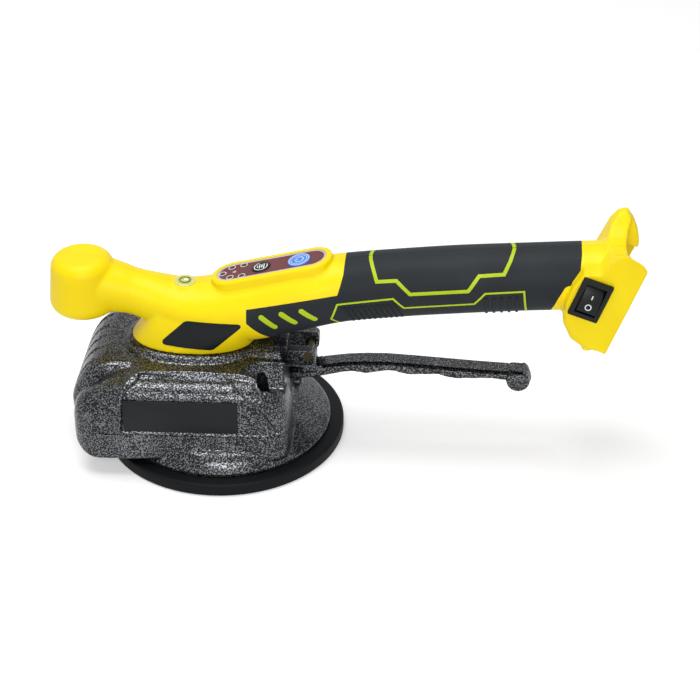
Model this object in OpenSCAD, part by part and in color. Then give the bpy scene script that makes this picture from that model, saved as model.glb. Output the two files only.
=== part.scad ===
// Cordless tile vibrator: a suction pad under a cast vibrator body, a squeeze lever that
// releases the suction, and a moulded handle with a front knob and a slide-on battery foot.
// Frame: +X runs towards the battery foot, +Z is up, and the origin is the centre of the
// suction pad's underside. Lengths are in millimetres.

/* [Suction pad] */
// Diameter of the rubber suction pad
pad_d = 120; // [112:1:126]
// Height of the pad's rim
pad_h = 6.5; // [5.5:0.5:8]
// Depth of the dished underside at rest
pad_dish = 5; // [4.5:0.25:6]
// Thickness of the rubber web
pad_web = 3; // [2:0.25:3.5]
// Radius of the flat hub in the middle of the pad
hub_r = 16; // [14:0.5:18]

/* [Casting] */
// Diameter of the dome's rim
dome_d = 107; // [102:1:110]
// Front end of the side lobes
block_front = -68; // [-72:0.5:-66]
// Rear wall of the block
block_rear = 33; // [32:0.5:35]
// Half width over the side lobes at their front
lobe_w = 47.5; // [46.5:0.5:50]
// How far each lobe closes in towards the rear, in degrees
lobe_taper = 1.7; // [0:0.1:2.5]
// Half width of the finned middle part
core_w = 34; // [32:0.5:35]
// Height of the underside of the overhanging front
block_bottom = 9.6; // [9:0.2:11]
// Height of the parting line between the two castings
parting_z = 25; // [24:0.5:27]
// Height of the deck
deck_z = 52; // [51:0.5:54]
// Height of the boss that the handle stands on
boss_h = 3.2; // [2.5:0.1:4]
// Wall of the castings
cast_wall = 4; // [3:0.25:4.5]
// Number of cooling fins on the nose
fin_count = 5; // [3:1:6]
// Depth of the grooves between the fins
fin_groove = 1.6; // [1:0.1:2]

/* [Motor] */
// Diameter of the motor can
motor_d = 28; // [26:0.5:29]
// Length of the motor can
motor_len = 38; // [34:1:40]
// Distance of the motor axis in front of the pad's centre
motor_x = -42; // [-42.5:0.25:-41]
// Height of the motor axis
motor_z = 32; // [32:0.5:33]
// Diameter of the rotor shaft
shaft_d = 4; // [3:0.5:5]
// Radius of the eccentric weights
weight_r = 13; // [11:0.5:13]
// Thickness of an eccentric weight
weight_t = 6.5; // [5:0.5:7]

/* [Lever] */
// Distance of the lever's pivot behind the pad's centre
pivot_x = 43.7; // [43:0.1:45]
// Height of the lever's pivot
pivot_z = 50; // [49.5:0.1:50.5]
// Diameter of the pivot bolt
pivot_d = 4; // [3.5:0.1:4.4]
// Half width of the lever's blade
lever_w = 4.6; // [4:0.1:5]
// Rear end of the lever, at the centre of its knob
lever_end_x = 146.8; // [140:0.2:150]
// Radius of the knob at the lever's end
lever_knob_r = 6.6; // [5.5:0.1:7]
// Gap between the two ears that carry the lever
ear_gap = 12.2; // [11.8:0.1:13]
// Thickness of one ear
ear_t = 2.6; // [2.2:0.1:3.2]

/* [Handle] */
// Wall of the handle mouldings
shell_wall = 2.6; // [2.2:0.1:3]
// Thickness of the soft grip
grip_t = 1.6; // [1.2:0.1:1.8]
// Diameter of the grip at its middle
grip_d = 32.6; // [31:0.2:34]
// Diameter of the front knob at its widest
knob_d = 34; // [32:0.5:35]
// Height of the front knob
knob_h = 29.6; // [28:0.2:31]
// Distance of the front knob ahead of the pad's centre
knob_x = -67.5; // [-70:0.5:-66]
// Length of the handle's foot
foot_len = 62; // [60:0.5:64]
// Width of the handle's foot
foot_width = 40; // [38:0.5:42]

/* [Battery foot] */
// Tilt of the battery face from the vertical
foot_tilt = 19.6; // [18:0.2:21]
// Width over the two cheeks
cheek_width = 44; // [43:0.5:46]
// Depth of the slide recess
slide_depth = 9; // [8:0.25:10]
// Width of the slide recess
slide_width = 38; // [36:0.5:39]

/* [Controls] */
// Length of the control overlay
overlay_len = 55; // [52:0.5:57]
// Width of the control overlay
overlay_width = 14.6; // [13.5:0.1:15.5]
// Width of the rim round the overlay
pod_rim = 3; // [2.5:0.1:3.5]
// Diameter of the mode button
mode_d = 9.4; // [8:0.2:10]
// Diameter of the power button
power_d = 11.4; // [10:0.2:12]
// Travel of the buttons
button_travel = 0.5; // [0.3:0.05:0.55]
// Length of the rocker switch bezel
rocker_len = 21; // [20:0.25:22]
// Width of the rocker switch bezel
rocker_wide = 15; // [14.5:0.25:15.5]
// Tilt of the rocker cap to either side
rocker_tilt = 10; // [6:0.5:11]

/* [Hidden] */

$fn = 48;
eps = 0.01;
running = 0.05;
slip = 0.15;
seat = 0.3;

hammer_grey = "#5a5a5c";
shell_yellow = "#f5e21a";
grip_black = "#24272a";
rubber_black = "#17191b";
zinc = "#b9a560";
steel = "#a9adb2";
copper = "#b87333";
brass = "#c8a951";

pad_r = pad_d / 2;
dome_r = dome_d / 2;
dome_top = parting_z - 4.5;
hub_top = pad_dish + pad_web;
pad_lip_r = pad_r - 14;
pad_seat_r = dome_r - 10;

// The stud, its collar and spring stand on the pad's hub
plate_t = 2;
plate_r = hub_r - 1;
stud_d = 10;
plate_top = hub_top + plate_t;
pocket_top = plate_top + 2.5;
floor_z = pocket_top + 4.5;
guide_r = 11;
guide_top = floor_z + 2.5;
spring_wire = 1.5;
spring_turns = 4;
spring_r = stud_d / 2 + spring_wire + 1.1;
collar_z = guide_top + 12.5;
collar_t = 3;
collar_r = stud_d / 2 + 5;
collar_top = collar_z + collar_t;
fork_gap = stud_d / 2 + 0.8;
fork_w = fork_gap + 3.8;
fork_z = collar_top + seat;
fork_t = 5.2;
stud_top = fork_z + fork_t - 1;

boss_top = deck_z + boss_h;
roof_z = deck_z - 3.5;
nose_low = block_front - 3;
nose_high = block_front + 7;
foot_x = -13.8;
cavity_front = block_front + 2 * cast_wall;
cavity_rear = block_rear - cast_wall;
rear_w = lobe_w - (block_rear - block_front) * tan(lobe_taper);
cavity_w = rear_w - cast_wall;
shoulder_r = 9;
nose_r = 22;
fin_end = -40;
nose_half = 27;
ear_web = 2.4;
plate_recess_at = [23, -0.8, 26.6];
plate_recess_size = [71, 5, 18.2];

// Screw columns of the casting: two from above behind, two from below in front
screw_r = 2;
column_r = 5.5;
rear_screw = [block_rear - 9, rear_w - 8.5];
front_screw = [cavity_front + 4, cavity_w - 4.5];
pocket_z = deck_z - 12;
pocket_r = 4;
pocket_run = [-3, -2];
handle_screw_x = [foot_x - 20, foot_x + 20];
handle_screw_y = 9;

// Rear face and rocker frames of the battery foot
foot_face = [195, 0, 91.1];
function from_face(p) = [foot_face[0] + p[0], foot_face[2] + p[1]];
rocker_at = [foot_face[0] - 16.9, -cheek_width / 2, foot_face[2] + 6.5];
panel_at = [25.3, 0, 96];
panel_pitch = 14.4;
vial_at = [-17.2, 0, 85.2];
vial_r = 4.3;
vial_h = 4.6;
vial_boss_r = vial_r + 1.5;

// Handle stations: x, top, bottom, half width, height of the widest line
grip_r = grip_d / 2;
function round_station(x, z, r) = [x, z + r, z - r, r, z];
stations = [
    round_station(-58, 82, 13.5),
    round_station(-47, 79.8, 12),
    round_station(-41, 77.8, 11.6),
    [-30, 86.6, 62, 13.4, 74],
    [-17, 84.2, 59.5, 16, 71.5],
    [-2, 86.2, 58, 18, 71.5],
    [17, 91.4, 57, 18.6, 74],
    [40, 97.8, 63, 17.6, 80],
    round_station(61.5, 85.4, grip_r + 0.2),
    round_station(88, 89.2, grip_r),
    round_station(116.5, 92.5, grip_r),
    round_station(148, 95.4, grip_r - 0.2),
    round_station(foot_face[0] - 29, foot_face[2] + 5.7, grip_r - 0.1),
    round_station(foot_face[0] - 11, foot_face[2] + 6.9, grip_r)
];

// Smooth curve through rows of numbers, with steps sections in each stretch
function blend(a, b, c, d, t) =
    0.5 * (2 * b + t * (c - a) + t * t * (2 * a - 5 * b + 4 * c - d) + t * t * t * (3 * b - a - 3 * c + d));
function smooth_rows(rows, steps) =
    let (n = len(rows))
    [for (i = [0:n - 2], k = [0:steps - 1])
        blend(rows[max(i - 1, 0)], rows[i], rows[i + 1], rows[min(i + 2, n - 1)], k / steps),
     rows[n - 1]];
function signed_power(v, p) = sign(v) * pow(abs(v), p);
// One ring of points across X, from a station drawn in by the given depth
function ring_across(s, inset, sides, squareness = 0.94) =
    [for (i = [0:sides - 1])
        let (a = 360 * i / sides, up = sin(a))
        [s[0], (s[3] - inset) * signed_power(cos(a), squareness),
         s[4] + (up > 0 ? s[1] - inset - s[4] : s[4] - s[2] - inset) * signed_power(up, squareness)]];
// One ring of points at a height, an oval round the handle's foot
function ring_oval(z, a, b, x, sides) =
    [for (i = [0:sides - 1])
        let (t = 360 * i / sides)
        [x + a * signed_power(cos(t), 0.92), b * signed_power(sin(t), 0.92), z]];
function oval_outline(a, b, sides) = [for (p = ring_oval(0, a, b, foot_x, sides)) [p[0], p[1]]];

// Solid through a list of rings with the same number of points
module loft(rings) {
    n = len(rings[0]);
    m = len(rings);
    sides = [for (i = [0:m - 2], j = [0:n - 1])
        let (a = i * n + j, b = i * n + (j + 1) % n)
        each [[b + n, b, a], [a + n, b + n, a]]];
    caps = [[for (j = [0:n - 1]) j], [for (j = [n - 1:-1:0]) (m - 1) * n + j]];
    polyhedron(points = [for (r = rings) each r], faces = concat(sides, caps));
}

// Tube along a list of points in the XZ plane at a distance y from it
module lead(path, y, r, sides = 8) {
    m = len(path);
    loft([for (i = [0:m - 1])
        let (t = path[min(i + 1, m - 1)] - path[max(i - 1, 0)], u = t / norm(t))
        [for (j = [0:sides - 1])
            let (a = 360 * j / sides)
            [path[i][0] - r * sin(a) * u[1], y + r * cos(a), path[i][1] + r * sin(a) * u[0]]]]);
}

// Plan of the block with its own radius at the front and the rear corners
module plan(x0, x1, w, front_r, rear_r) {
    translate([x0 + front_r, -w]) square([x1 - rear_r - x0 - front_r, 2 * w]);
    translate([x0, front_r - w]) square([front_r + eps, 2 * (w - front_r)]);
    translate([x1 - rear_r - eps, rear_r - w]) square([rear_r + eps, 2 * (w - rear_r)]);
    for (s = [-1, 1]) {
        translate([x0 + front_r, s * (w - front_r)]) circle(r = front_r);
        translate([x1 - rear_r, s * (w - rear_r)]) circle(r = rear_r);
    }
}

// Round-ended bar outline
module stadium(length, width) {
    square([length - width, width], center = true);
    for (s = [-1, 1]) translate([s * (length - width) / 2, 0]) circle(d = width);
}

module across(y0, y1) {
    translate([0, y1, 0]) rotate([90, 0, 0]) linear_extrude(y1 - y0) children();
}

module pin_y(x, z, r, y0, y1, sides = $fn) {
    translate([x, y1, z]) rotate([90, 0, 0]) cylinder(r = r, h = y1 - y0, $fn = sides);
}

module at_panel() { translate(panel_at) rotate([0, -panel_pitch, 0]) children(); }
module at_rocker() { translate(rocker_at) rotate([0, foot_tilt, 0]) children(); }
module at_slide() { translate(foot_face) rotate([0, foot_tilt, 0]) children(); }

// Suction pad and the stud that flexes it
module suction_pad() {
    bevel = 1;
    color(rubber_black) rotate_extrude($fn = 96) polygon([
        [0, pad_dish], [hub_r, pad_dish], [pad_lip_r, 0], [pad_r - bevel, 0], [pad_r, bevel],
        [pad_r, pad_h - bevel], [pad_r - bevel, pad_h], [pad_seat_r, pad_h],
        [pad_seat_r - 1.5, pad_h - 1.3], [hub_r, hub_top], [0, hub_top]]);
}

module stud_plate() {
    color(steel) translate([0, 0, hub_top]) difference() {
        cylinder(r = plate_r, h = plate_t);
        translate([0, 0, -1]) cylinder(d = stud_d, h = plate_t + 2);
    }
}

module suction_stud() {
    chamfer = 1;
    color(steel) rotate_extrude() polygon([
        [0, hub_top], [stud_d / 2, hub_top], [stud_d / 2, stud_top - chamfer],
        [stud_d / 2 - chamfer, stud_top], [0, stud_top]]);
}

module stud_collar() {
    color(steel) translate([0, 0, collar_z]) difference() {
        cylinder(r = collar_r, h = collar_t);
        translate([0, 0, -1]) cylinder(d = stud_d, h = collar_t + 2);
    }
}

module return_spring() {
    sides = 6;
    rings = spring_turns * 12;
    half = spring_wire / 2;
    low = guide_top + seat + half;
    high = collar_z - seat - half;
    // Rings of the round wire, each turned to face along the helix
    pitch_rise = (high - low) / spring_turns;
    lean = atan(pitch_rise / (2 * PI * spring_r));
    echo(spring_least_gap = pitch_rise * cos(lean) - spring_wire);
    color(steel) loft([for (i = [0:rings])
        let (a = 360 * spring_turns * i / rings, z = low + (high - low) * i / rings)
        [for (j = [0:sides - 1])
            let (b = 360 * j / sides, out = half * cos(b), up = half * sin(b))
            [(spring_r + out) * cos(a) + up * sin(lean) * sin(a),
             (spring_r + out) * sin(a) - up * sin(lean) * cos(a),
             z + up * cos(lean)]]]);
}

// Castings of the vibrator body. A side lobe is drawn in its own frame: x from its front end,
// y outwards from its flat face, z up.
module for_lobe(s) {
    mirror([0, s, 0]) translate([block_front, lobe_w, 0]) rotate([0, 0, -lobe_taper]) children();
}

module at_lobes() {
    for (s = [0, 1]) for_lobe(s) children();
}

lobe_len = (block_rear - block_front) / cos(lobe_taper);
lobe_in = lobe_w - 22;
lobe_front_r = 12;
lobe_rear_r = 8;
// The lobes slope down in front of this line and behind that one, as seen from the side
lobe_slope_in = core_w - 3;
lobe_slopes = [
    [[block_front - 6, deck_z + 1], [block_front - 6, deck_z - 13], [block_front + 30, deck_z],
     [block_front + 30, deck_z + 1]],
    [[block_rear + 1, deck_z + 1], [block_rear + 1, deck_z - 12], [block_rear - 0.6, deck_z - 9],
     [block_rear - 2.4, deck_z - 5.6], [block_rear - 5.4, deck_z - 2.6], [block_rear - 10, deck_z - 0.7],
     [block_rear - 15, deck_z], [block_rear - 15, deck_z + 1]]];

module lobe_plan() {
    translate([lobe_front_r, -lobe_in]) square([lobe_len - lobe_front_r - lobe_rear_r, lobe_in]);
    translate([0, -lobe_in]) square([lobe_front_r + eps, lobe_in - lobe_front_r]);
    translate([lobe_len - lobe_rear_r - eps, -lobe_in]) square([lobe_rear_r + eps, lobe_in - lobe_rear_r]);
    translate([lobe_front_r, -lobe_front_r]) circle(r = lobe_front_r);
    translate([lobe_len - lobe_rear_r, -lobe_rear_r]) circle(r = lobe_rear_r);
}

module screw_columns(z0, z1, r) {
    for (s = [-1, 1], p = [rear_screw, front_screw])
        translate([p[0], s * p[1], z0]) cylinder(r = r, h = z1 - z0);
}

module cavity(z0, z1) {
    difference() {
        translate([0, 0, z0]) linear_extrude(z1 - z0) plan(cavity_front, cavity_rear, cavity_w, 10, 6);
        screw_columns(z0 - 1, z1 + 1, column_r);
    }
}

// Round cap on a flat rim, drawn as a few cones
module dome() {
    rim_h = 2.2;
    rim_step = 0.9;
    cones = 6;
    cap_r = dome_r - 1;
    rise = dome_top - pad_h - rim_h - rim_step;
    ball_r = (cap_r * cap_r + rise * rise) / (2 * rise);
    rotate_extrude($fn = 96) polygon(concat(
        [[0, pad_h], [dome_r, pad_h], [dome_r, pad_h + rim_h], [cap_r, pad_h + rim_h]],
        [for (k = [0:cones])
            let (r = cap_r * (1 - k / cones))
            [r, dome_top - ball_r + sqrt(ball_r * ball_r - r * r)]]));
}

module block_outline(front) {
    at_lobes() lobe_plan();
    plan(front, block_rear, core_w, nose_r, 6);
}

module tub() {
    translate([0, 0, block_bottom]) linear_extrude(parting_z - block_bottom) block_outline(nose_low);
}

module base_casting() {
    cradle_t = 4;
    cradle_y = motor_len / 2 - 6;
    chamfer = 9;
    color(hammer_grey) difference() {
        union() {
            difference() {
                union() {
                    dome();
                    intersection() {
                        tub();
                        across(-lobe_w - 1, lobe_w + 1) polygon([
                            [nose_low - 1, parting_z + 1], [nose_low - 1, block_bottom + chamfer + 2],
                            [nose_low + chamfer + 2, block_bottom - 1], [block_rear + 1, block_bottom - 1],
                            [block_rear + 1, parting_z + 1]]);
                    }
                }
                cavity(floor_z, parting_z + 1);
            }
            translate([0, 0, floor_z - eps]) cylinder(r = guide_r, h = guide_top - floor_z + eps);
            for (s = [-1, 1])
                across(s * cradle_y - cradle_t / 2, s * cradle_y + cradle_t / 2)
                    translate([motor_x - motor_d / 2 - 3.6, floor_z - eps])
                        square([motor_d + 7.2, parting_z - floor_z + eps]);
        }
        // Dished room for the pad's web and the stud's plate
        rotate_extrude($fn = 96) polygon([
            [0, pad_h - 4], [pad_seat_r, pad_h - 4], [pad_seat_r, pad_h + 0.4], [plate_r + 2, hub_top + 2.2],
            [plate_r + 2, pocket_top], [0, pocket_top]]);
        translate([0, 0, pocket_top - 1]) cylinder(d = stud_d + 2 * running, h = guide_top);
        pin_y(motor_x, motor_z, motor_d / 2 + running, -cradle_y - cradle_t, cradle_y + cradle_t);
        screw_columns(block_bottom - 1, parting_z + 1, screw_r + running);
        for (s = [-1, 1])
            translate([front_screw[0], s * front_screw[1], block_bottom - 5]) cylinder(r = 4, h = 8);
        for (s = [-1, 1], x = [-1, 1])
            translate([motor_x + x * (motor_d / 2 + 2.2), s * cradle_y, floor_z + 1])
                cylinder(r = 1, h = parting_z);
    }
}

// Rounded shoulder along a lobe's side, wide enough to hold the rest of the block
module side_profile() {
    reach = 3 * lobe_w;
    translate([-20, 0, 0]) rotate([90, 0, 90]) linear_extrude(lobe_len + 40) {
        translate([-reach, 0]) square([reach, deck_z - shoulder_r]);
        translate([-reach, 0]) square([reach - shoulder_r, deck_z]);
        translate([-shoulder_r, deck_z - shoulder_r]) circle(r = shoulder_r);
    }
}

module front_profile() {
    long = block_rear - block_front + 1;
    across(-lobe_w - 1, lobe_w + 1) {
        translate([block_front - 5, 0]) square([long + 5, parting_z + 3]);
        translate([block_front, 0]) square([long, deck_z - shoulder_r]);
        translate([block_front + shoulder_r, 0]) square([long - shoulder_r, deck_z]);
        translate([block_front + shoulder_r, deck_z - shoulder_r]) circle(r = shoulder_r);
    }
}

// Block with round shoulders, and fins on the leaning nose between its lobes
module upper_block() {
    slope = (nose_high - nose_low) / (deck_z - parting_z);
    low_x = nose_low + fin_groove - slope;
    high_x = nose_high + fin_groove + slope;
    difference() {
        intersection() {
            translate([0, 0, parting_z]) linear_extrude(deck_z - parting_z) block_outline(nose_low);
            front_profile();
            for_lobe(0) side_profile();
            for_lobe(1) side_profile();
        }
        across(-nose_half, nose_half) polygon([
            [nose_low - 9, parting_z - 1], [low_x, parting_z - 1],
            [high_x, deck_z + 1], [nose_low - 9, deck_z + 1]]);
        for (s = [0, 1], slope_outline = lobe_slopes)
            mirror([0, s, 0]) across(lobe_slope_in, lobe_w + 1) polygon(slope_outline);
    }
    pitch = (deck_z - parting_z) / fin_count;
    fin_h = 0.62 * pitch;
    for (k = [1:fin_count]) {
        top = k * pitch - 0.6;
        translate([0, 0, parting_z + top - fin_h]) linear_extrude(fin_h)
            plan(nose_low + slope * (top - fin_h / 2), fin_end, nose_half + 2, nose_r, 2);
    }
}

// Shallow recess for the bare rating plate, on the near lobe only
module plate_recess() {
    for_lobe(1)
        translate(plate_recess_at) cube(plate_recess_size);
}

module ridge() {
    r = 1.8;
    y = core_w - 1;
    x0 = block_front + 31;
    x1 = block_rear - 17;
    for (s = [-1, 1]) {
        translate([x0, s * y, deck_z]) rotate([0, 90, 0]) cylinder(r = r, h = x1 - x0);
        for (x = [x0, x1]) translate([x, s * y, deck_z]) sphere(r = r);
    }
}

// Low tower behind the handle's foot, and two ears that carry the lever's bolt
module tower() {
    translate([10, 0, 0]) rotate([90, 0, 90]) linear_extrude(block_rear - 10) polygon([
        [-22, deck_z - 2], [-14, boss_top], [14, boss_top], [22, deck_z - 2]]);
}

module ears() {
    corner = 2.6;
    low = pivot_z - pivot_d / 2 - 2.4;
    high = pivot_z + pivot_d / 2 + 1.8;
    end = pivot_x + pivot_d / 2 + 1.3;
    root = block_rear - 3;
    inner = ear_gap / 2;
    for (s = [-1, 1])
        across(s < 0 ? -inner - ear_t : inner, s < 0 ? -inner : inner + ear_t) {
            translate([root, low]) square([end - corner - root, high - low]);
            translate([root, low + corner]) square([end - root, high - low - 2 * corner]);
            for (z = [low + corner, high - corner]) translate([end - corner, z]) circle(r = corner);
        }
    translate([root, -inner - 1, low]) cube([ear_web + 3, ear_gap + 2, high - low]);
}

module upper_housing() {
    window_w = lever_w + 1.9;
    color(hammer_grey) difference() {
        union() {
            upper_block();
            ridge();
            tower();
            ears();
            translate([0, 0, deck_z - eps]) linear_extrude(boss_h * 0.5 + eps)
                polygon(oval_outline(foot_len / 2 + 3.6, foot_width / 2 + 3.6, 48));
            translate([0, 0, deck_z - eps]) linear_extrude(boss_h + eps)
                polygon(oval_outline(foot_len / 2 + 1.4, foot_width / 2 + 1.4, 48));
        }
        cavity(parting_z - 1, deck_z - shoulder_r - 1);
        translate([0, 0, parting_z]) linear_extrude(roof_z - parting_z)
            plan(nose_high + 5, cavity_rear, core_w - 3, 6, 5);
        plate_recess();
        // Lever window in the rear wall
        translate([cavity_rear - 1, -window_w, fork_z - 5]) cube([cast_wall + 2, 2 * window_w, 14]);
        pin_y(pivot_x, pivot_z, pivot_d / 2 + running, -40, 40);
        // Screw pockets behind, clearance holes, and the way through for the motor's leads
        for (s = [-1, 1])
            hull() for (p = [rear_screw, rear_screw + pocket_run])
                translate([p[0], s * p[1], pocket_z]) cylinder(r = pocket_r, h = deck_z);
        screw_columns(parting_z - 1, pocket_z + 1, screw_r + running);
        for (x = handle_screw_x, s = [-1, 1])
            translate([x, s * handle_screw_y, roof_z - 1]) cylinder(r = screw_r + running, h = boss_top);
        translate([foot_x, 0, roof_z - 1]) cylinder(r = 5.5, h = boss_top);
    }
}

module screw(r, head_r, head_h, length) {
    cylinder(r = head_r, h = head_h);
    translate([0, 0, -length]) cylinder(r = r, h = length + eps);
}

module housing_screws() {
    color(steel) for (s = [-1, 1]) {
        translate([rear_screw[0], s * rear_screw[1], pocket_z]) screw(screw_r, 3.8, 2.6, pocket_z - floor_z);
        translate([front_screw[0], s * front_screw[1], block_bottom + 3]) rotate([180, 0, 0])
            screw(screw_r, 3.6, 2.4, parting_z + 10 - block_bottom);
    }
}

// Squeeze lever: fork, two lugs on the bolt, scalloped blade and knob
lug_t = 2;

module release_lever() {
    eye_r = pivot_d / 2 + 1;
    lug_out = ear_gap / 2 - seat;
    knob_z = 38;
    blade = [
        [12, fork_z + fork_t], [22, 39.4], [33, 38], [39, 39.4], [44.5, 40.8], [51, 42.5], [57, 43.6],
        [63, 44.6], [72, 45.4], [82, 45.7], [95, 45.2], [108, 44.5], [127, 43.5], [lever_end_x, 42.8],
        [lever_end_x, 38.2], [138.5, 38.2], [134, 38.8], [125, 38.3], [116.3, 37.8], [111.5, 38.5],
        [107.5, 39.8], [101, 39.4], [93, 38.9], [89, 39.6], [86, 40.6], [83, 40.8], [78, 39.9],
        [74.5, 39.1], [71.5, 38.5], [68.5, 39], [65, 39.4], [61.5, 39], [56, 37.6], [46, 35],
        [33, 33.2], [26, 33.6], [16, fork_z], [12, fork_z]];
    color(hammer_grey) difference() {
        union() {
            across(-lever_w, lever_w) polygon(blade);
            pin_y(lever_end_x, knob_z, lever_knob_r * 0.86, -lever_w - 1, lever_w + 1);
            translate([lever_end_x, 0, knob_z]) sphere(r = lever_knob_r);
            for (s = [-1, 1]) {
                y0 = s < 0 ? -lug_out : lug_out - lug_t;
                pin_y(pivot_x, pivot_z, eye_r, y0, y0 + lug_t);
                across(y0, y0 + lug_t) polygon([
                    [pivot_x - eye_r, pivot_z], [pivot_x + eye_r, pivot_z],
                    [pivot_x + eye_r, 39], [pivot_x - eye_r - 1, 38]]);
            }
            // Fork with a crowned underside that bears on the collar
            across(-fork_w, fork_w) polygon([
                [-8, fork_z + fork_t], [-8, fork_z + 1.6], [2, fork_z], [14, fork_z], [14, fork_z + fork_t]]);
        }
        translate([-9, -fork_gap, fork_z - 1]) cube([9 + fork_gap, 2 * fork_gap, fork_t + 2]);
        pin_y(pivot_x, pivot_z, pivot_d / 2 + running, -ear_gap, ear_gap);
    }
}

nut_t = 3.2;
head_reach = 0.3;

module lever_pin() {
    outer = ear_gap / 2 + ear_t;
    color(zinc) {
        pin_y(pivot_x, pivot_z, pivot_d / 2, -outer, outer + nut_t + 1);
        pin_y(pivot_x, pivot_z, pivot_d / 2 + head_reach, -outer - 0.8, -outer);
    }
}

module lever_pin_nut() {
    outer = ear_gap / 2 + ear_t;
    color(zinc) difference() {
        translate([pivot_x, outer + nut_t, pivot_z]) rotate([90, 0, 0])
            cylinder(r = pivot_d * 0.95, h = nut_t, $fn = 6);
        pin_y(pivot_x, pivot_z, pivot_d / 2, outer - 1, outer + 6);
    }
}

// Motor with a weight on each end of its shaft
can_wall = 1.2;
magnet_t = 2;
bearing_r = 5;
bearing_t = 4;
cap_t = 2.4;
motor_half = motor_len / 2;
shaft_half = motor_half + cap_t + weight_t + 4;

module motor_can() {
    color(steel) difference() {
        pin_y(motor_x, motor_z, motor_d / 2, -motor_half, motor_half);
        pin_y(motor_x, motor_z, motor_d / 2 - can_wall, -motor_half - 1, motor_half + 1);
    }
}

module motor_end_caps() {
    color("#2b2b2b") for (s = [-1, 1]) {
        y0 = min(s * motor_half, s * (motor_half + cap_t));
        difference() {
            union() {
                pin_y(motor_x, motor_z, motor_d / 2, y0, y0 + cap_t);
                pin_y(motor_x, motor_z, motor_d / 2 - can_wall, min(s * (motor_half - 3), s * motor_half),
                    max(s * (motor_half - 3), s * motor_half));
            }
            pin_y(motor_x, motor_z, bearing_r, -60, 60);
        }
    }
}

module motor_magnets() {
    outer = motor_d / 2 - can_wall;
    half = motor_half - 4;
    color("#3a3d40") for (s = [0, 180])
        translate([motor_x, half, motor_z]) rotate([90, 0, 0]) rotate([0, 0, s + 20])
            rotate_extrude(angle = 140) translate([outer - magnet_t, 0]) square([magnet_t, 2 * half]);
}

module motor_bearings() {
    color(steel) for (s = [-1, 1]) {
        y0 = s > 0 ? motor_half - 2 : -motor_half - 2;
        difference() {
            pin_y(motor_x, motor_z, bearing_r, y0, y0 + bearing_t);
            pin_y(motor_x, motor_z, shaft_d / 2 + running, y0 - 1, y0 + bearing_t + 1);
        }
    }
}

module rotor_shaft() {
    color(steel) pin_y(motor_x, motor_z, shaft_d / 2, -shaft_half, shaft_half);
}

module armature() {
    half = motor_half - 6;
    r = motor_d / 2 - can_wall - magnet_t - 0.6;
    slot_w = 1.6;
    color(copper) difference() {
        pin_y(motor_x, motor_z, r, -half, half);
        pin_y(motor_x, motor_z, shaft_d / 2, -half - 1, half + 1);
        for (a = [0:60:300])
            translate([motor_x, 0, motor_z]) rotate([0, a, 0])
                translate([r - 3.2, -half - 1, -slot_w / 2]) cube([5, 2 * half + 2, slot_w]);
    }
}

// Half-round weight with a round hub, heavy side down
module eccentric(y0) {
    hub = shaft_d / 2 + 3;
    color(steel) difference() {
        union() {
            pin_y(motor_x, motor_z, hub, y0, y0 + weight_t);
            difference() {
                pin_y(motor_x, motor_z, weight_r, y0, y0 + weight_t);
                translate([motor_x - 30, y0 - 1, motor_z]) cube([60, weight_t + 2, 30]);
            }
        }
        pin_y(motor_x, motor_z, shaft_d / 2, y0 - 1, y0 + weight_t + 1);
    }
}
module eccentric_near() { eccentric(-motor_half - cap_t - 2 - weight_t); }
module eccentric_far() { eccentric(motor_half + cap_t + 2); }

// Straps that hold the can down in its cradles
module motor_clamps() {
    strap_t = 1.2;
    y = motor_len / 2 - 6;
    inner = motor_d / 2 + running;
    foot = motor_d / 2 + 3.4;
    color(steel) for (s = [-1, 1]) difference() {
        union() {
            intersection() {
                pin_y(motor_x, motor_z, inner + strap_t, s * y - 2, s * y + 2);
                translate([motor_x - 30, s * y - 3, parting_z]) cube([60, 6, 60]);
            }
            translate([motor_x - foot, s * y - 2, parting_z]) cube([2 * foot, 4, strap_t]);
        }
        pin_y(motor_x, motor_z, inner, s * y - 3, s * y + 3);
        for (x = [-1, 1])
            translate([motor_x + x * (motor_d / 2 + 2.2), s * y, parting_z - 1])
                cylinder(r = 1 + running, h = 4);
    }
}

module clamp_screws() {
    y = motor_len / 2 - 6;
    color(steel) for (s = [-1, 1], x = [-1, 1])
        translate([motor_x + x * (motor_d / 2 + 2.2), s * y, parting_z + 1.2]) screw(1, 1.7, 1.2, 6);
}

// Outside of the handle, drawn in by inset
module knob_solid(inset) {
    top = 97.5;
    edge = 6 - inset;
    low_r = knob_d / 2 - inset;
    high_r = knob_d / 2 - 1.6 - inset;
    base = top - knob_h + inset;
    crown = top - inset;
    translate([knob_x, 0, 0]) rotate_extrude($fn = 40) polygon(concat(
        [[0, base]],
        [for (a = [-90:18:0]) [low_r - edge + edge * cos(a), base + edge + edge * sin(a)]],
        [for (a = [0:18:90]) [high_r - edge + edge * cos(a), crown - edge + edge * sin(a)]],
        [[0, crown]]));
}

module handle_tube(inset, steps, sides) {
    loft([for (s = smooth_rows(stations, steps)) ring_across(s, inset, sides)]);
}

module pedestal(inset, z0) {
    a = foot_len / 2 - inset;
    b = foot_width / 2 - inset;
    loft([for (k = [[0, 0, 0], [2, 1.6, 0.6], [5, 4.6, 1.4], [9, 7, 2.2], [15, 8.6, 3.6]])
        ring_oval(z0 + k[0], a - k[1], b - k[2], foot_x, 40)]);
}

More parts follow.
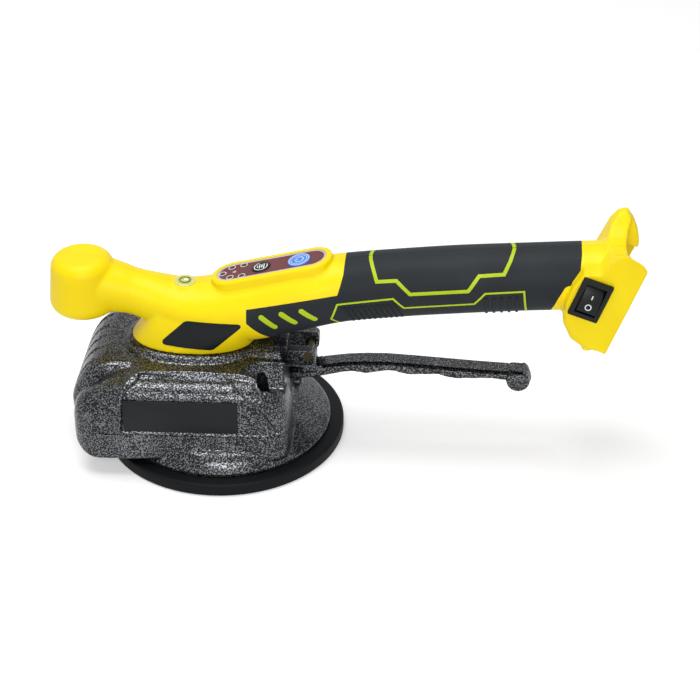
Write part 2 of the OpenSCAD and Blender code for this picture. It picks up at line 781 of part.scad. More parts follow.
// Side outlines of the battery foot, measured from its rear face: the near cheek is flat and full,
// so that it holds the switch, and the far side is drawn in
foot_back = [
    [-29, -8.1], [-24.6, -16.6], [-17.7, -21.9], [-8.5, -23.7], [8.4, 23.7], [6.5, 26.5],
    [2.5, 29.3], [-2, 30.7]];
near_profile = [for (p = concat(foot_back, [[-17.5, 23.5], [-27, 14.9], [-29.5, 2.9]])) from_face(p)];
far_profile = [for (p = concat(foot_back, [[-14, 19.3], [-28, 4.9]])) from_face(p)];
far_draw = 3.2;

module battery_block(inset) {
    far = cheek_width / 2 - inset;
    hull() {
        across(inset - cheek_width / 2, 0) rounded(near_profile, inset);
        across(0, far - 10) rounded(far_profile, inset);
        across(far - 1, far) rounded(far_profile, inset + far_draw);
    }
}

module rounded(outline, inset) {
    offset(r = 1.5) offset(delta = -1.5 - inset) polygon(outline);
}

module slide_recess(gap) {
    at_slide() translate([-slide_depth - gap, -slide_width / 2 - gap, -40])
        cube([slide_depth + 5, slide_width + 2 * gap, 58 + gap]);
}

module handle_outside() {
    handle_tube(0, 2, 28);
    knob_solid(0);
    pedestal(0, boss_top);
    battery_block(0);
    translate([vial_at[0], 0, vial_at[2] - 10]) cylinder(r = vial_boss_r, h = 10, $fn = 32);
}

module handle_inside() {
    handle_tube(shell_wall + grip_t, 1, 16);
    knob_solid(shell_wall);
    pedestal(shell_wall, boss_top + 3.2);
    battery_block(shell_wall);
}

// Side outline of the soft grip, which reaches forward along the belly of the handle
grip_rear = [[-38, -41.1], [-34.8, -6.1], [-29.3, 8.4], [-23.2, 11.7], [-21.6, 33.9]];
grip_outline = concat(
    [[63, 125], [61, 98.5], [58.5, 90], [14.7, 80.7], [14.7, 73.6], [24, 64.4], [30, 50]],
    [for (p = grip_rear) from_face(p)]);

module grip_region() {
    across(-30, 30) polygon(grip_outline);
}

shell_screw_at = [[-30, 72], [10, 68], [80, 80.5], [135, 86.5], from_face([-19, -12.1])];
shell_head_y = 9;
boss_r = 4.4;
foot_boss_r = 3.4;

module handle_shell(side) {
    half_y = side < 0 ? -60 : 0;
    color(shell_yellow) resize([0, 0, 0]) difference() {
        intersection() {
            union() {
                difference() {
                    handle_outside();
                    handle_inside();
                }
                intersection() {
                    union() {
                        for (p = shell_screw_at) pin_y(p[0], p[1], boss_r, -26, 26, 16);
                        for (x = handle_screw_x, s = [-1, 1])
                            translate([x, s * handle_screw_y, boss_top])
                                cylinder(r = foot_boss_r, h = 9, $fn = 16);
                        translate([vial_at[0], 0, 70]) cylinder(r = vial_boss_r, h = 12, $fn = 32);
                    }
                    handle_outside();
                }
            }
            translate([-150, half_y, 0]) cube([400, 60, 200]);
        }
        // Soft grip, control pod, level vial, rocker and battery slide sit in cut-outs
        difference() {
            grip_region();
            handle_tube(grip_t, 2, 28);
        }
        at_panel() translate([0, 0, -9]) linear_extrude(30)
            stadium(overlay_len + 2 * pod_rim + 2 * slip, overlay_width + 2 * pod_rim + 2 * slip, $fn = 32);
        translate([vial_at[0], 0, vial_at[2] - vial_h]) cylinder(r = vial_r + running, h = 20, $fn = 32);
        at_rocker() translate([0, 8, 0])
            cube([rocker_wide - 1.6, 20, rocker_len - 1.6], center = true);
        slide_recess(slip);
        // Screws: heads on the far side, pilots in the near half
        for (p = shell_screw_at) {
            pin_y(p[0], p[1], 1.5, -10, 30, 16);
            pin_y(p[0], p[1], 3, shell_head_y, 30, 16);
        }
        for (x = handle_screw_x, s = [-1, 1])
            translate([x, s * handle_screw_y, boss_top - 1]) cylinder(r = screw_r, h = 9, $fn = 16);
        translate([foot_x, 0, boss_top - 1]) cylinder(r = 5, h = 6, $fn = 24);
    }
}
module handle_shell_near() { handle_shell(-1); }
module handle_shell_far() { handle_shell(1); }

module grip(side) {
    half_y = side < 0 ? -60 : 0;
    color(grip_black) resize([0, 0, 0]) intersection() {
        difference() {
            handle_tube(0, 2, 28);
            handle_tube(grip_t, 2, 28);
            for (p = shell_screw_at) pin_y(p[0], p[1], 3.2, shell_head_y, 30, 16);
        }
        grip_region();
        translate([-150, half_y, 0]) cube([400, 60, 200]);
    }
}
module grip_near() { grip(-1); }
module grip_far() { grip(1); }

module shell_screws() {
    color(steel) for (p = shell_screw_at)
        translate([p[0], shell_head_y, p[1]]) rotate([-90, 0, 0]) screw(1.4, 2.7, 2, 16);
}

module handle_screws() {
    head = 2.2;
    color(steel) for (x = handle_screw_x, s = [-1, 1])
        translate([x, s * handle_screw_y, roof_z]) rotate([180, 0, 0])
            screw(screw_r - running, 3.6, head, boss_top + 7 - roof_z);
}

module level_vial() {
    color("#c9d94a") translate([vial_at[0], 0, vial_at[2] - vial_h]) {
        cylinder(r = vial_r, h = vial_h - 0.4);
        cylinder(r = vial_r - 0.5, h = vial_h);
    }
}

// Control pod, in the panel's own frame: z is 0 on the overlay's face
overlay_t = 0.9;
pod_floor = 2.2;
pod_depth = 9;
board_t = 1.2;
board_z = -6.6;
led_x = 8.9 - overlay_len / 2;
mode_x = led_x + 13.4;
power_x = overlay_len / 2 - 13.6;
led_r = 1.1;
led_at = [for (p = [[-6, 0], [-1.8, 4.6], [-1.8, -4.6], [4.2, 5], [4.2, -5], [0, 0]]) p + [led_x, 0]];
post_at = [for (s = [-1, 1], t = [-1, 1]) [s * (overlay_len / 2 - 5.5), 4 * t]];

module control_pod() {
    outer_len = overlay_len + 2 * pod_rim;
    outer_wide = overlay_width + 2 * pod_rim;
    wall = 1.8;
    color(shell_yellow) at_panel() difference() {
        union() {
            difference() {
                translate([0, 0, -pod_depth]) linear_extrude(pod_depth + 0.9) stadium(outer_len, outer_wide);
                translate([0, 0, -overlay_t]) linear_extrude(5)
                    stadium(overlay_len + 2 * slip, overlay_width + 2 * slip);
                translate([0, 0, -pod_depth - 1]) linear_extrude(pod_depth + 1 - overlay_t - pod_floor)
                    stadium(outer_len - 2 * wall, outer_wide - 2 * wall);
            }
            for (p = post_at)
                translate([p[0], p[1], board_z + board_t])
                    cylinder(r = 1.3, h = -board_z - board_t - overlay_t);
        }
        translate([mode_x, 0, -5]) cylinder(d = mode_d + 2 * slip, h = 10);
        translate([power_x, 0, -5]) cylinder(d = power_d + 2 * slip, h = 10);
        for (p = led_at) translate([p[0], p[1], -4]) cylinder(r = led_r, h = 6);
    }
}

module panel_overlay() {
    color("#6b2a2e") at_panel() difference() {
        translate([0, 0, -overlay_t]) linear_extrude(overlay_t) stadium(overlay_len, overlay_width);
        translate([mode_x, 0, -2]) cylinder(d = mode_d + 2 * slip, h = 4);
        translate([power_x, 0, -2]) cylinder(d = power_d + 2 * slip, h = 4);
        for (p = led_at) translate([p[0], p[1], -2]) cylinder(r = led_r, h = 4);
    }
}

module led_lenses() {
    color("#d8d2c8") at_panel() for (p = led_at)
        translate([p[0], p[1], -overlay_t - pod_floor]) cylinder(r = led_r, h = overlay_t + pod_floor);
}

button_low = board_z + board_t + 2.2;
module push_button(x, d, tint) {
    color(tint) at_panel() translate([x, 0, button_low]) {
        cylinder(d = d, h = 0.2 - button_low);
        cylinder(d = d - 1.2, h = 0.4 - button_low);
    }
}
module mode_button() { push_button(mode_x, mode_d, "#1c1c1e"); }
module power_button() { push_button(power_x, power_d, "#3f74d8"); }

module control_board() {
    color("#1f6b3a") at_panel() translate([0, 0, board_z]) linear_extrude(board_t)
        square([overlay_len - 7, overlay_width - 3], center = true);
}

module tact_switches() {
    color("#2a2a2c") at_panel() for (x = [mode_x, power_x]) translate([x, 0, board_z + board_t]) {
        translate([-3, -3, 0]) cube([6, 6, 1.2]);
        cylinder(r = 1.7, h = button_low - board_z - board_t - button_travel - 0.05);
    }
}

// Rocker switch, in its own frame: x across, y into the handle, z along the cap
bezel_t = 2;
rocker_pivot_y = 2;
cap_half = 7;
cap_wide = 4.8;
trunnion_r = 1;

module rocker_frame() {
    body_wide = rocker_wide - 2;
    body_len = rocker_len - 2;
    body_deep = 15;
    color("#1b1b1d") at_rocker() difference() {
        union() {
            translate([-rocker_wide / 2, -bezel_t, -rocker_len / 2]) cube([rocker_wide, bezel_t, rocker_len]);
            translate([-body_wide / 2, -eps, -body_len / 2]) cube([body_wide, body_deep, body_len]);
        }
        translate([-cap_wide - 0.4, -bezel_t - 1, -cap_half - 0.9])
            cube([2 * cap_wide + 0.8, bezel_t + 8, 2 * cap_half + 1.8]);
        translate([-cap_wide - 1, rocker_pivot_y, 0]) rotate([0, 90, 0])
            cylinder(r = trunnion_r + running, h = 2 * cap_wide + 2);
    }
}

module rocker_cap() {
    proud = 4.3;
    waist = 3.9;
    color("#222224") at_rocker() translate([0, rocker_pivot_y, 0]) rotate([-rocker_tilt, 0, 0]) {
        rotate([90, 0, 90]) linear_extrude(2 * cap_wide, center = true) polygon([
            [-proud, cap_half], [-waist, 0], [-proud, -cap_half],
            [0.4, -cap_half + 1], [2, -3], [2, 3], [0.4, cap_half - 1]]);
        rotate([0, 90, 0]) cylinder(r = trunnion_r, h = 2 * cap_wide + 1.6, center = true);
    }
}

module rocker_terminals() {
    color(brass) at_rocker() for (z = [-6, 0, 6])
        translate([-2.4, 15, z - 0.4]) cube([4.8, 7, 0.8]);
}

// Battery slide: rails, terminal block and blades, in the slide's own frame
rail_t = 2.5;
lip_t = 3;
lip_reach = 3;
slide_top = 17.6;
slide_low = -24.6;

module battery_slide() {
    half = slide_width / 2;
    color("#2b2d30") at_slide() translate([0, 0, slide_low])
        linear_extrude(slide_top - slide_low) difference() {
        translate([-slide_depth, -half]) square([slide_depth, 2 * half]);
        translate([rail_t - slide_depth, rail_t - half])
            square([slide_depth - rail_t - lip_t, 2 * (half - rail_t)]);
        translate([-slide_depth / 2, rail_t + lip_reach - half])
            square([slide_depth, 2 * (half - rail_t - lip_reach)]);
    }
}

block_low = -2;
module terminal_block() {
    color("#1d1d1f") at_slide() difference() {
        translate([rail_t - slide_depth, -9, block_low]) cube([4.5, 18, slide_top - 2 - block_low]);
        for (y = [-5, 0, 5])
            translate([rail_t - slide_depth + 1.2, y - 0.4, block_low - 1]) cube([2.2, 0.8, 10]);
    }
}

module contact_blades() {
    color(brass) at_slide() for (y = [-5, 0, 5])
        translate([rail_t - slide_depth + 1.2, y - 0.4, block_low - 9]) cube([2.2, 0.8, 18]);
}

// Leads: two from the battery slide to the board, two from the board to the motor
lead_r = 1.1;
battery_route = concat(
    [for (p = [[-8.6, 4.3], [-14, 5.9], [-23, 6.4], [-35, 4.4]]) from_face(p)],
    [[130, 93.6], [100, 90], [75, 87.4], [58, 85.6], [47, 85.2], [42.4, 86.8], [41.4, 89.8], [40.6, 92.8]]);
motor_route = [
    [15.4, 86.3], [16.1, 83.4], [14, 78], [6, 73], [-4, 67], [-11, 61.5], [foot_x, 56], [foot_x, 50],
    [-15.5, 43], [-19, 38.4], [-23, 35.6], [motor_x + motor_d / 2 + 0.4, motor_z + 3]];

module battery_leads() {
    color("#b3261e") for (y = [1.6, 4.2]) lead(smooth_rows(battery_route, 2), y, lead_r);
}
module motor_leads() {
    color("#2d3a8c") for (y = [-1.8, 1.8]) lead(smooth_rows(motor_route, 2), y, lead_r);
}

suction_pad();
stud_plate();
suction_stud();
stud_collar();
return_spring();
base_casting();
upper_housing();
housing_screws();
release_lever();
lever_pin();
lever_pin_nut();
motor_can();
motor_end_caps();
motor_magnets();
motor_bearings();
rotor_shaft();
armature();
eccentric_near();
eccentric_far();
motor_clamps();
clamp_screws();
handle_shell_near();
handle_shell_far();
grip_near();
grip_far();
shell_screws();
handle_screws();
level_vial();
control_pod();
panel_overlay();
led_lenses();
mode_button();
power_button();
control_board();
tact_switches();
rocker_frame();
rocker_cap();
rocker_terminals();
battery_slide();
terminal_block();
contact_blades();
battery_leads();
motor_leads();
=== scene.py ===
# %% [markdown]
# # A battery tile vibrator, dressed around its CAD frame
# The object is a hand-held vibrator for laying tiles: a rubber suction cup under a cast body with
# a motor in it, a moulded handle with a knob in front, and a foot behind that takes a battery.
# The CAD parts are loaded first and stay where they are. Everything below either gives such a part
# a finish, or builds a softer, finer piece that stands for it.

# %% Load the frame
import math

import bmesh
import bpy
import numpy as np
from mathutils import Matrix, Vector
from mathutils.bvhtree import BVHTree


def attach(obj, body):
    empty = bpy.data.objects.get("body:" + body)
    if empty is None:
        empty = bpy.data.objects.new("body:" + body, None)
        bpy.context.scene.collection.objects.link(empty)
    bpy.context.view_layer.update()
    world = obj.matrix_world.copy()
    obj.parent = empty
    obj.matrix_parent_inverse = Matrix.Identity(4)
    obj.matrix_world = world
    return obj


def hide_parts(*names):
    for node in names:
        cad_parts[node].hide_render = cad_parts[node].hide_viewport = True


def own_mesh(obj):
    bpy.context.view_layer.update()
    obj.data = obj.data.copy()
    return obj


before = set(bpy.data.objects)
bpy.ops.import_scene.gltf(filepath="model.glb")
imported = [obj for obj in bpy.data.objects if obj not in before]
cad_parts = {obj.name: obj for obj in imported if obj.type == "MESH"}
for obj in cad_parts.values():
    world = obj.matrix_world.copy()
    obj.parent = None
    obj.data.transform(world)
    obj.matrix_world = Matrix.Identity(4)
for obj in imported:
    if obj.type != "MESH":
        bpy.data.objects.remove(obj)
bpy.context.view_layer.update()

MM = 0.001  # shapes are drawn in millimetres and brought to metres when they are seated

# %% [markdown]
# ## Camera
# The photograph was taken from the side, a good 30 degrees above the table, with a long lens, so
# the shapes hardly narrow with distance. A camera can be turned by hand until it fits. Here it is
# placed by the direction that it looks back along: from that come its right and its up, and the
# three are the columns of its rotation.

# %% Camera
PHOTO_SIZE, FOCAL_PIXELS = 700, 2000
SENSOR_WIDTH = 36
ELEVATION, AZIMUTH = math.radians(33.2), math.radians(4.5)
CAMERA_PLACE = Vector((128.3, -824.7, 590.3))

camera_data = bpy.data.cameras.new("camera")
camera_data.sensor_width = SENSOR_WIDTH
camera_data.lens = SENSOR_WIDTH * FOCAL_PIXELS / PHOTO_SIZE
camera = bpy.data.objects.new("camera", camera_data)
bpy.context.scene.collection.objects.link(camera)
bpy.context.scene.camera = camera
right = Vector((math.cos(AZIMUTH), math.sin(AZIMUTH), 0))
back = Vector((math.sin(AZIMUTH) * math.cos(ELEVATION), -math.cos(AZIMUTH) * math.cos(ELEVATION),
               math.sin(ELEVATION)))
turn = Matrix((right, back.cross(right), back)).transposed()
camera.matrix_world = Matrix.Translation(CAMERA_PLACE * MM) @ turn.to_4x4()
print("lens", round(camera_data.lens, 1), "mm")

# %% [markdown]
# ## Finishes
# Each finish is a small tree of nodes. One function turns a colour as designers write it into the
# linear light that a shader counts in, and one adds a node with its settings and its links.

# %% Colour and node helpers
def linear(hex_colour):
    """Linear red, green, blue and alpha of an sRGB hex colour."""
    parts = [int(hex_colour[i:i + 2], 16) / 255 for i in (1, 3, 5)]
    return [c / 12.92 if c <= 0.04045 else ((c + 0.055) / 1.055) ** 2.4 for c in parts] + [1.0]


def add(tree, kind, values=None, links=None, **settings):
    """One shader node: settings on the node, values and links on its inputs."""
    node = tree.nodes.new(kind)
    for key, value in settings.items():
        setattr(node, key, value)
    for key, value in (values or {}).items():
        node.inputs[key].default_value = value
    for key, source in (links or {}).items():
        tree.links.new(source, node.inputs[key])
    return node


def per_mm(size):
    """Scale of a pattern whose marks are this many millimetres wide."""
    return 1 / (size * MM)


def blended(tree, source, low, high, first, last):
    """Goes from the first colour to the last as a pattern rises from low to high."""
    rise = add(tree, "ShaderNodeMapRange", {"From Min": low, "From Max": high}, {"Value": source})
    colours = {6: linear(first), 7: linear(last)}  # where a mix node keeps its two colours
    mix = add(tree, "ShaderNodeMix", colours, {0: rise.outputs["Result"]}, data_type="RGBA")
    return mix.outputs[2]


def new_finish(name):
    """An empty material: its tree, its shader and the object's own coordinates."""
    material = bpy.data.materials.new(name)
    material.use_nodes = True
    tree = material.node_tree
    shader = tree.nodes["Principled BSDF"]
    place = add(tree, "ShaderNodeTexCoord").outputs["Object"]
    return material, tree, shader, place


print("middle grey in linear light:", round(linear("#808080")[0], 3))

# %% [markdown]
# ### Surround
# A product photograph has a white surround. It has to look white, in reflections too, but it must
# not flood the object with light. So world and floor give a low level of light to the object, and
# only the rays that come from the camera, or by way of a gloss or through something clear, see them
# brighter.

# %% Surround
SKY_LIGHT, SKY_SEEN, FLOOR_GLOW = 0.26, 0.9, 0.3


def seen_level(tree, base, seen):
    """A strength that is base for the light on the object, and seen where the background shows."""
    rays = add(tree, "ShaderNodeLightPath").outputs
    direct = add(tree, "ShaderNodeMath", links={0: rays["Is Camera Ray"], 1: rays["Is Glossy Ray"]},
                 operation="MAXIMUM")
    shown = add(tree, "ShaderNodeMath", links={0: direct.outputs[0], 1: rays["Is Transmission Ray"]},
                operation="MAXIMUM")
    level = add(tree, "ShaderNodeMapRange", {"To Min": base, "To Max": seen},
                {"Value": shown.outputs[0]})
    return level.outputs["Result"]


world = bpy.data.worlds.new("studio")
bpy.context.scene.world = world
world.use_nodes = True
sky = world.node_tree.nodes["Background"]
sky.inputs["Color"].default_value = linear("#ffffff")
world.node_tree.links.new(seen_level(world.node_tree, SKY_LIGHT, SKY_SEEN), sky.inputs["Strength"])
bpy.context.scene.view_settings.view_transform = "Standard"
print("light of the surround:", SKY_LIGHT, "and where it is seen:", SKY_SEEN)

# %% [markdown]
# ### Lamps
# One big soft lamp hangs overhead and another stands in front. A sun or a point would draw a hard
# shadow; a wide area lamp softens its edge, as a photographer's softbox does.

# %% Lamps
SUBJECT = (0.05, 0, 0.05)  # middle of the object, in metres


def soft_lamp(name, place, size, watts):
    """A square area lamp, all in metres, that faces the object."""
    data = bpy.data.lights.new(name, "AREA")
    data.size = size
    data.energy = watts
    lamp = bpy.data.objects.new(name, data)
    lamp.location = place
    lamp.rotation_euler = (Vector(SUBJECT) - Vector(place)).to_track_quat("-Z", "Y").to_euler()
    bpy.context.scene.collection.objects.link(lamp)


soft_lamp("overhead", (-0.1, 0.05, 1.1), 0.75, 8.8)
soft_lamp("front", (0.15, -1.3, 0.75), 0.8, 9.5)
print("lamps:", [lamp.name for lamp in bpy.data.lights])

# %% [markdown]
# ### Floor
# The object stands on white paper, and a plane is enough for that. A little glow of its own, for
# the same rays that see the surround, brings the paper up to white, and the shadow stays on it.

# %% Floor
FLOOR_HALF = 4  # metres
floor_mesh = bpy.data.meshes.new("floor")
floor_mesh.from_pydata([(-FLOOR_HALF, -FLOOR_HALF, 0), (FLOOR_HALF, -FLOOR_HALF, 0),
                        (FLOOR_HALF, FLOOR_HALF, 0), (-FLOOR_HALF, FLOOR_HALF, 0)], [], [(0, 1, 2, 3)])
floor = bpy.data.objects.new("floor", floor_mesh)
bpy.context.scene.collection.objects.link(floor)
paper, tree, shader, place = new_finish("white_paper")
shader.inputs["Base Color"].default_value = linear("#f2f2f2")
shader.inputs["Roughness"].default_value = 0.9
shader.inputs["Emission Color"].default_value = linear("#ffffff")
tree.links.new(seen_level(tree, 0, FLOOR_GLOW), shader.inputs["Emission Strength"])
floor_mesh.materials.append(paper)
print("floor:", 2 * FLOOR_HALF, "m wide")

# %% [markdown]
# ### Moulded plastics and rubbers
# A moulding takes the texture of its steel tool: a fine spark-eroded grain that softens the gloss,
# and a slow waviness where the melt cooled unevenly. The colour drifts a little in the same way.
# Only the numbers differ from one plastic to the next, so one function makes them all.

# %% Moulded finishes
DRIFT_MM, GLOSS_SPREAD = 22, 0.05


def moulded(name, colour, shade, roughness, grain_mm, depth_mm, ior, mirror=0.5):
    """Moulded plastic or rubber: two close colours, a grain of that width and depth. A deep grain
    swallows part of the mirror, so its level goes below the plain half."""
    material, tree, shader, place = new_finish(name)
    drift = add(tree, "ShaderNodeTexNoise", {"Scale": per_mm(DRIFT_MM), "Detail": 3}, {"Vector": place})
    grain = add(tree, "ShaderNodeTexNoise", {"Scale": per_mm(grain_mm), "Detail": 2}, {"Vector": place})
    tint = blended(tree, drift.outputs["Fac"], 0.35, 0.65, shade, colour)
    tree.links.new(tint, shader.inputs["Base Color"])
    gloss = add(tree, "ShaderNodeMapRange",
                {"To Min": roughness - GLOSS_SPREAD, "To Max": roughness + GLOSS_SPREAD},
                {"Value": grain.outputs["Fac"]})
    tree.links.new(gloss.outputs["Result"], shader.inputs["Roughness"])
    bump = add(tree, "ShaderNodeBump", {"Strength": 0.6, "Distance": depth_mm * MM},
               {"Height": grain.outputs["Fac"]})
    tree.links.new(bump.outputs["Normal"], shader.inputs["Normal"])
    shader.inputs["IOR"].default_value = ior
    shader.inputs["Specular IOR Level"].default_value = mirror
    return material


# ABS: a saturated, slightly satin shell. TPE: a soft rubber skin that hardly shines. The cup's
# rubber is blacker still, and nylon has a dry, dark sheen. Each line gives the colour and its shade,
# the roughness, the grain's width and depth in millimetres, the IOR and the level of the mirror.
yellow_abs = moulded("yellow_abs", "#fbe008", "#f7d904", 0.40, 0.6, 0.02, 1.54, 0.18)
black_tpe = moulded("black_tpe", "#20262a", "#1b2024", 0.58, 0.5, 0.03, 1.50, 0.2)
# The grip's lines and slots are the yellow shell seen in its channels: this lime-green is that yellow with
# painted shade.
yellow_in_painted_shade = moulded("yellow_in_painted_shade", "#b9d016", "#aec60f", 0.45, 0.5, 0.02, 1.50, 0.25)
cup_rubber = moulded("cup_rubber", "#0a0d10", "#080a0c", 0.55, 0.7, 0.03, 1.52, 0.12)
black_nylon = moulded("black_nylon", "#111314", "#0e1011", 0.36, 0.5, 0.02, 1.53, 0.2)
# Dyed acrylic and printing inks: bright, even colours with the gloss of a thin lacquer.
blue_plastic = moulded("blue_plastic", "#3f86e6", "#3778d6", 0.30, 0.6, 0.01, 1.50)
white_print = moulded("white_print", "#eef0f2", "#e2e5e8", 0.45, 0.6, 0.01, 1.50)
pale_blue_print = moulded("pale_blue_print", "#cfe4fb", "#bdd8f6", 0.45, 0.6, 0.01, 1.50)
silver_print = moulded("silver_print", "#c9c3c8", "#b9b2b8", 0.35, 0.5, 0.01, 1.50)
# Polyester films and acrylic lenses: dark and even, the lenses with a clear highlight.
maroon_film = moulded("maroon_film", "#6d3436", "#622c2f", 0.42, 0.9, 0.01, 1.49, 0.3)
amber_lens = moulded("amber_lens", "#e2a184", "#d89576", 0.25, 0.6, 0.01, 1.49)
dark_lens = moulded("dark_lens", "#2b2a33", "#232229", 0.18, 0.6, 0.01, 1.49)
label_film = moulded("label_film", "#14181a", "#101416", 0.42, 0.8, 0.01, 1.49, 0.2)
# Inside: green glass laminate, the soft PVC of wires, and ferrite, a ceramic as dark as slate.
board_laminate = moulded("board_laminate", "#1f6b3a", "#1a5c31", 0.35, 0.8, 0.01, 1.55)
red_pvc = moulded("red_pvc", "#b3261e", "#a1211a", 0.40, 0.6, 0.01, 1.53)
blue_pvc = moulded("blue_pvc", "#2d3a8c", "#27327c", 0.40, 0.6, 0.01, 1.53)
ferrite = moulded("ferrite", "#3a3a3c", "#323234", 0.55, 0.4, 0.02, 2.2)
print("moulded finishes:", len(bpy.data.materials) - 1)

# %% [markdown]
# ### Hammer-tone paint
# The castings are sprayed with hammer-tone enamel: aluminium flake and dark resin draw apart into
# a maze of small bright and dark spots as it dries. A noise cut to two tones
# gives that maze. The bright spots are metal, so they mirror the yellow of the handle above, and
# the dark ones are resin. The same noise lifts the surface a little.

# %% Hammer-tone finish
FLAKE_MM, PATCH_MM = 0.7, 14  # the flakes are about as fine as the render can show
PATCH_SHARE, FLAKE_LIFT_MM = 0.12, 0.12
MAZE_LOW, MAZE_HIGH = 0.575, 0.64
hammer_tone, tree, shader, place = new_finish("hammer_tone_paint")
flake = add(tree, "ShaderNodeTexNoise", {"Scale": per_mm(FLAKE_MM), "Detail": 1.5}, {"Vector": place})
patch = add(tree, "ShaderNodeTexNoise", {"Scale": per_mm(PATCH_MM), "Detail": 2}, {"Vector": place})
maze = add(tree, "ShaderNodeMath", {1: PATCH_SHARE}, {0: patch.outputs["Fac"], 2: flake.outputs["Fac"]},
           operation="MULTIPLY_ADD")
tint = blended(tree, maze.outputs[0], MAZE_LOW, MAZE_HIGH, "#07080a", "#787a7e")
tree.links.new(tint, shader.inputs["Base Color"])
metal = add(tree, "ShaderNodeMapRange", {"From Min": MAZE_LOW, "From Max": MAZE_HIGH, "To Max": 0.9},
            {"Value": maze.outputs[0]})
tree.links.new(metal.outputs["Result"], shader.inputs["Metallic"])
shader.inputs["Roughness"].default_value = 0.28
shader.inputs["Specular IOR Level"].default_value = 0.25
bump = add(tree, "ShaderNodeBump", {"Strength": 0.5, "Distance": FLAKE_LIFT_MM * MM},
           {"Height": maze.outputs[0]})
tree.links.new(bump.outputs["Normal"], shader.inputs["Normal"])
print("flakes of", FLAKE_MM, "mm")

# %% [markdown]
# ### Metals
# Turned and rolled metal keeps fine scratches from the tool, and plating clouds a little. A metal
# has no colour of its own below the mirror, so the colour goes in as the mirror's tint.

# %% Metal finishes
CLOUD_MM, METAL_SPREAD = 5, 0.08


def plated(name, colour, shade, roughness, scratch_mm):
    """Metal with a clouded tint and fine scratches of that width."""
    material, tree, shader, place = new_finish(name)
    cloud = add(tree, "ShaderNodeTexNoise", {"Scale": per_mm(CLOUD_MM), "Detail": 4}, {"Vector": place})
    scratch = add(tree, "ShaderNodeTexNoise",
                  {"Scale": per_mm(scratch_mm), "Detail": 3, "Distortion": 0.6}, {"Vector": place})
    tint = blended(tree, cloud.outputs["Fac"], 0.3, 0.7, shade, colour)
    tree.links.new(tint, shader.inputs["Base Color"])
    shader.inputs["Metallic"].default_value = 1
    gloss = add(tree, "ShaderNodeMapRange",
                {"To Min": roughness - METAL_SPREAD, "To Max": roughness + METAL_SPREAD},
                {"Value": scratch.outputs["Fac"]})
    tree.links.new(gloss.outputs["Result"], shader.inputs["Roughness"])
    return material


# Zinc-plated steel: a pale, clouded mirror. With a yellow pass it turns to dark olive, and
# the motor's rolled steel stays plain and a little duller. Each line gives the colour and its shade,
# the roughness and the width of a scratch in millimetres.
zinc_steel = plated("zinc_steel", "#b9bdc2", "#a3a8ad", 0.34, 0.4)
yellow_zinc = plated("yellow_zinc_steel", "#453d29", "#332d1d", 0.34, 0.4)
motor_steel = plated("motor_steel", "#a6a9ad", "#94979b", 0.38, 0.5)
# Stamped brass and enamelled copper wire: warm metals, the brass brighter.
contact_brass = plated("contact_brass", "#d0b060", "#bd9c50", 0.28, 0.4)
copper_winding = plated("copper_winding", "#c07a3c", "#a8652c", 0.34, 0.5)
print("last metal:", copper_winding.name)
# %% [markdown]
# ## Drawing solids
# A handle or a casting is a few simple solids that flow into each other. Each is lofted through
# rings or drawn as an outline with a thickness; then a voxel remesh fuses them into one skin and a
# smoothing pass rounds the inner corners, as a mould maker's fillets do. Cuts that must stay crisp
# come after that, as booleans. A form is kept as plain points and faces until it is needed as a mesh,
# so that it can be moved, mirrored and joined with little code.

# %% Forms from rings
def loft(rings, whole_turn=False):
    """Solid through rings with the same number of points, as points and faces: capped at both ends,
    or with the last ring joined to the first."""
    rings = np.asarray(rings, float)
    rows, sides = rings.shape[:2]
    index = np.arange(rows * sides).reshape(rows, sides)
    caps = [] if whole_turn else [index[0].tolist(), index[-1].tolist()]
    if whole_turn:
        index = np.vstack([index, index[:1]])
    after = np.roll(index, -1, axis=1)
    quads = np.stack([index[:-1], after[:-1], after[1:], index[1:]], axis=-1).reshape(-1, 4)
    return rings.reshape(-1, 3), quads.tolist() + caps


def lathe(profile, centre=(0, 0), sides=96):
    """Solid of revolution about a vertical line, from (radius, height) pairs."""
    turns = np.arange(sides) * 2 * math.pi / sides
    around = np.stack([np.cos(turns), np.sin(turns)], axis=1)
    return loft([[(centre[0] + max(r, 0.01) * c, centre[1] + max(r, 0.01) * s, z) for c, s in around]
                 for r, z in profile])


def hoop(section, centre=(0, 0), start=0, end=360, sides=96):
    """A closed section of (radius, height) pairs turned about a vertical line, or part of the way."""
    whole_turn = end - start == 360
    angles = np.radians(np.linspace(start, end, sides, endpoint=not whole_turn))
    return loft([[(centre[0] + r * math.cos(a), centre[1] + r * math.sin(a), z) for r, z in section]
                 for a in angles], whole_turn)


print("a cone with 96 sides has", len(lathe([(5, 0), (0, 9)])[1]), "faces")

# %% [markdown]
# ### Outlines and meshes
# Plates, keys and cutters are outlines with a thickness. A form is moved by a matrix, and at the end
# one or more forms become one mesh, whose faces are turned to look outwards.

# %% Slabs, moved forms and meshes
def rectangle(left, low, right, high):
    """Outline with four corners, from the lower left one round."""
    return [(left, low), (right, low), (right, high), (left, high)]


def slab(outline, low, high, across=False):
    """An outline with a thickness: drawn flat and upwards, or in X and Z and along Y."""
    if across:
        return loft([[(x, y, z) for x, z in outline] for y in (low, high)])
    return loft([[(x, y, z) for x, y in outline] for z in (low, high)])


def placed(form, matrix):
    """The same form moved by a matrix."""
    return [tuple(matrix @ Vector(p)) for p in form[0]], form[1]


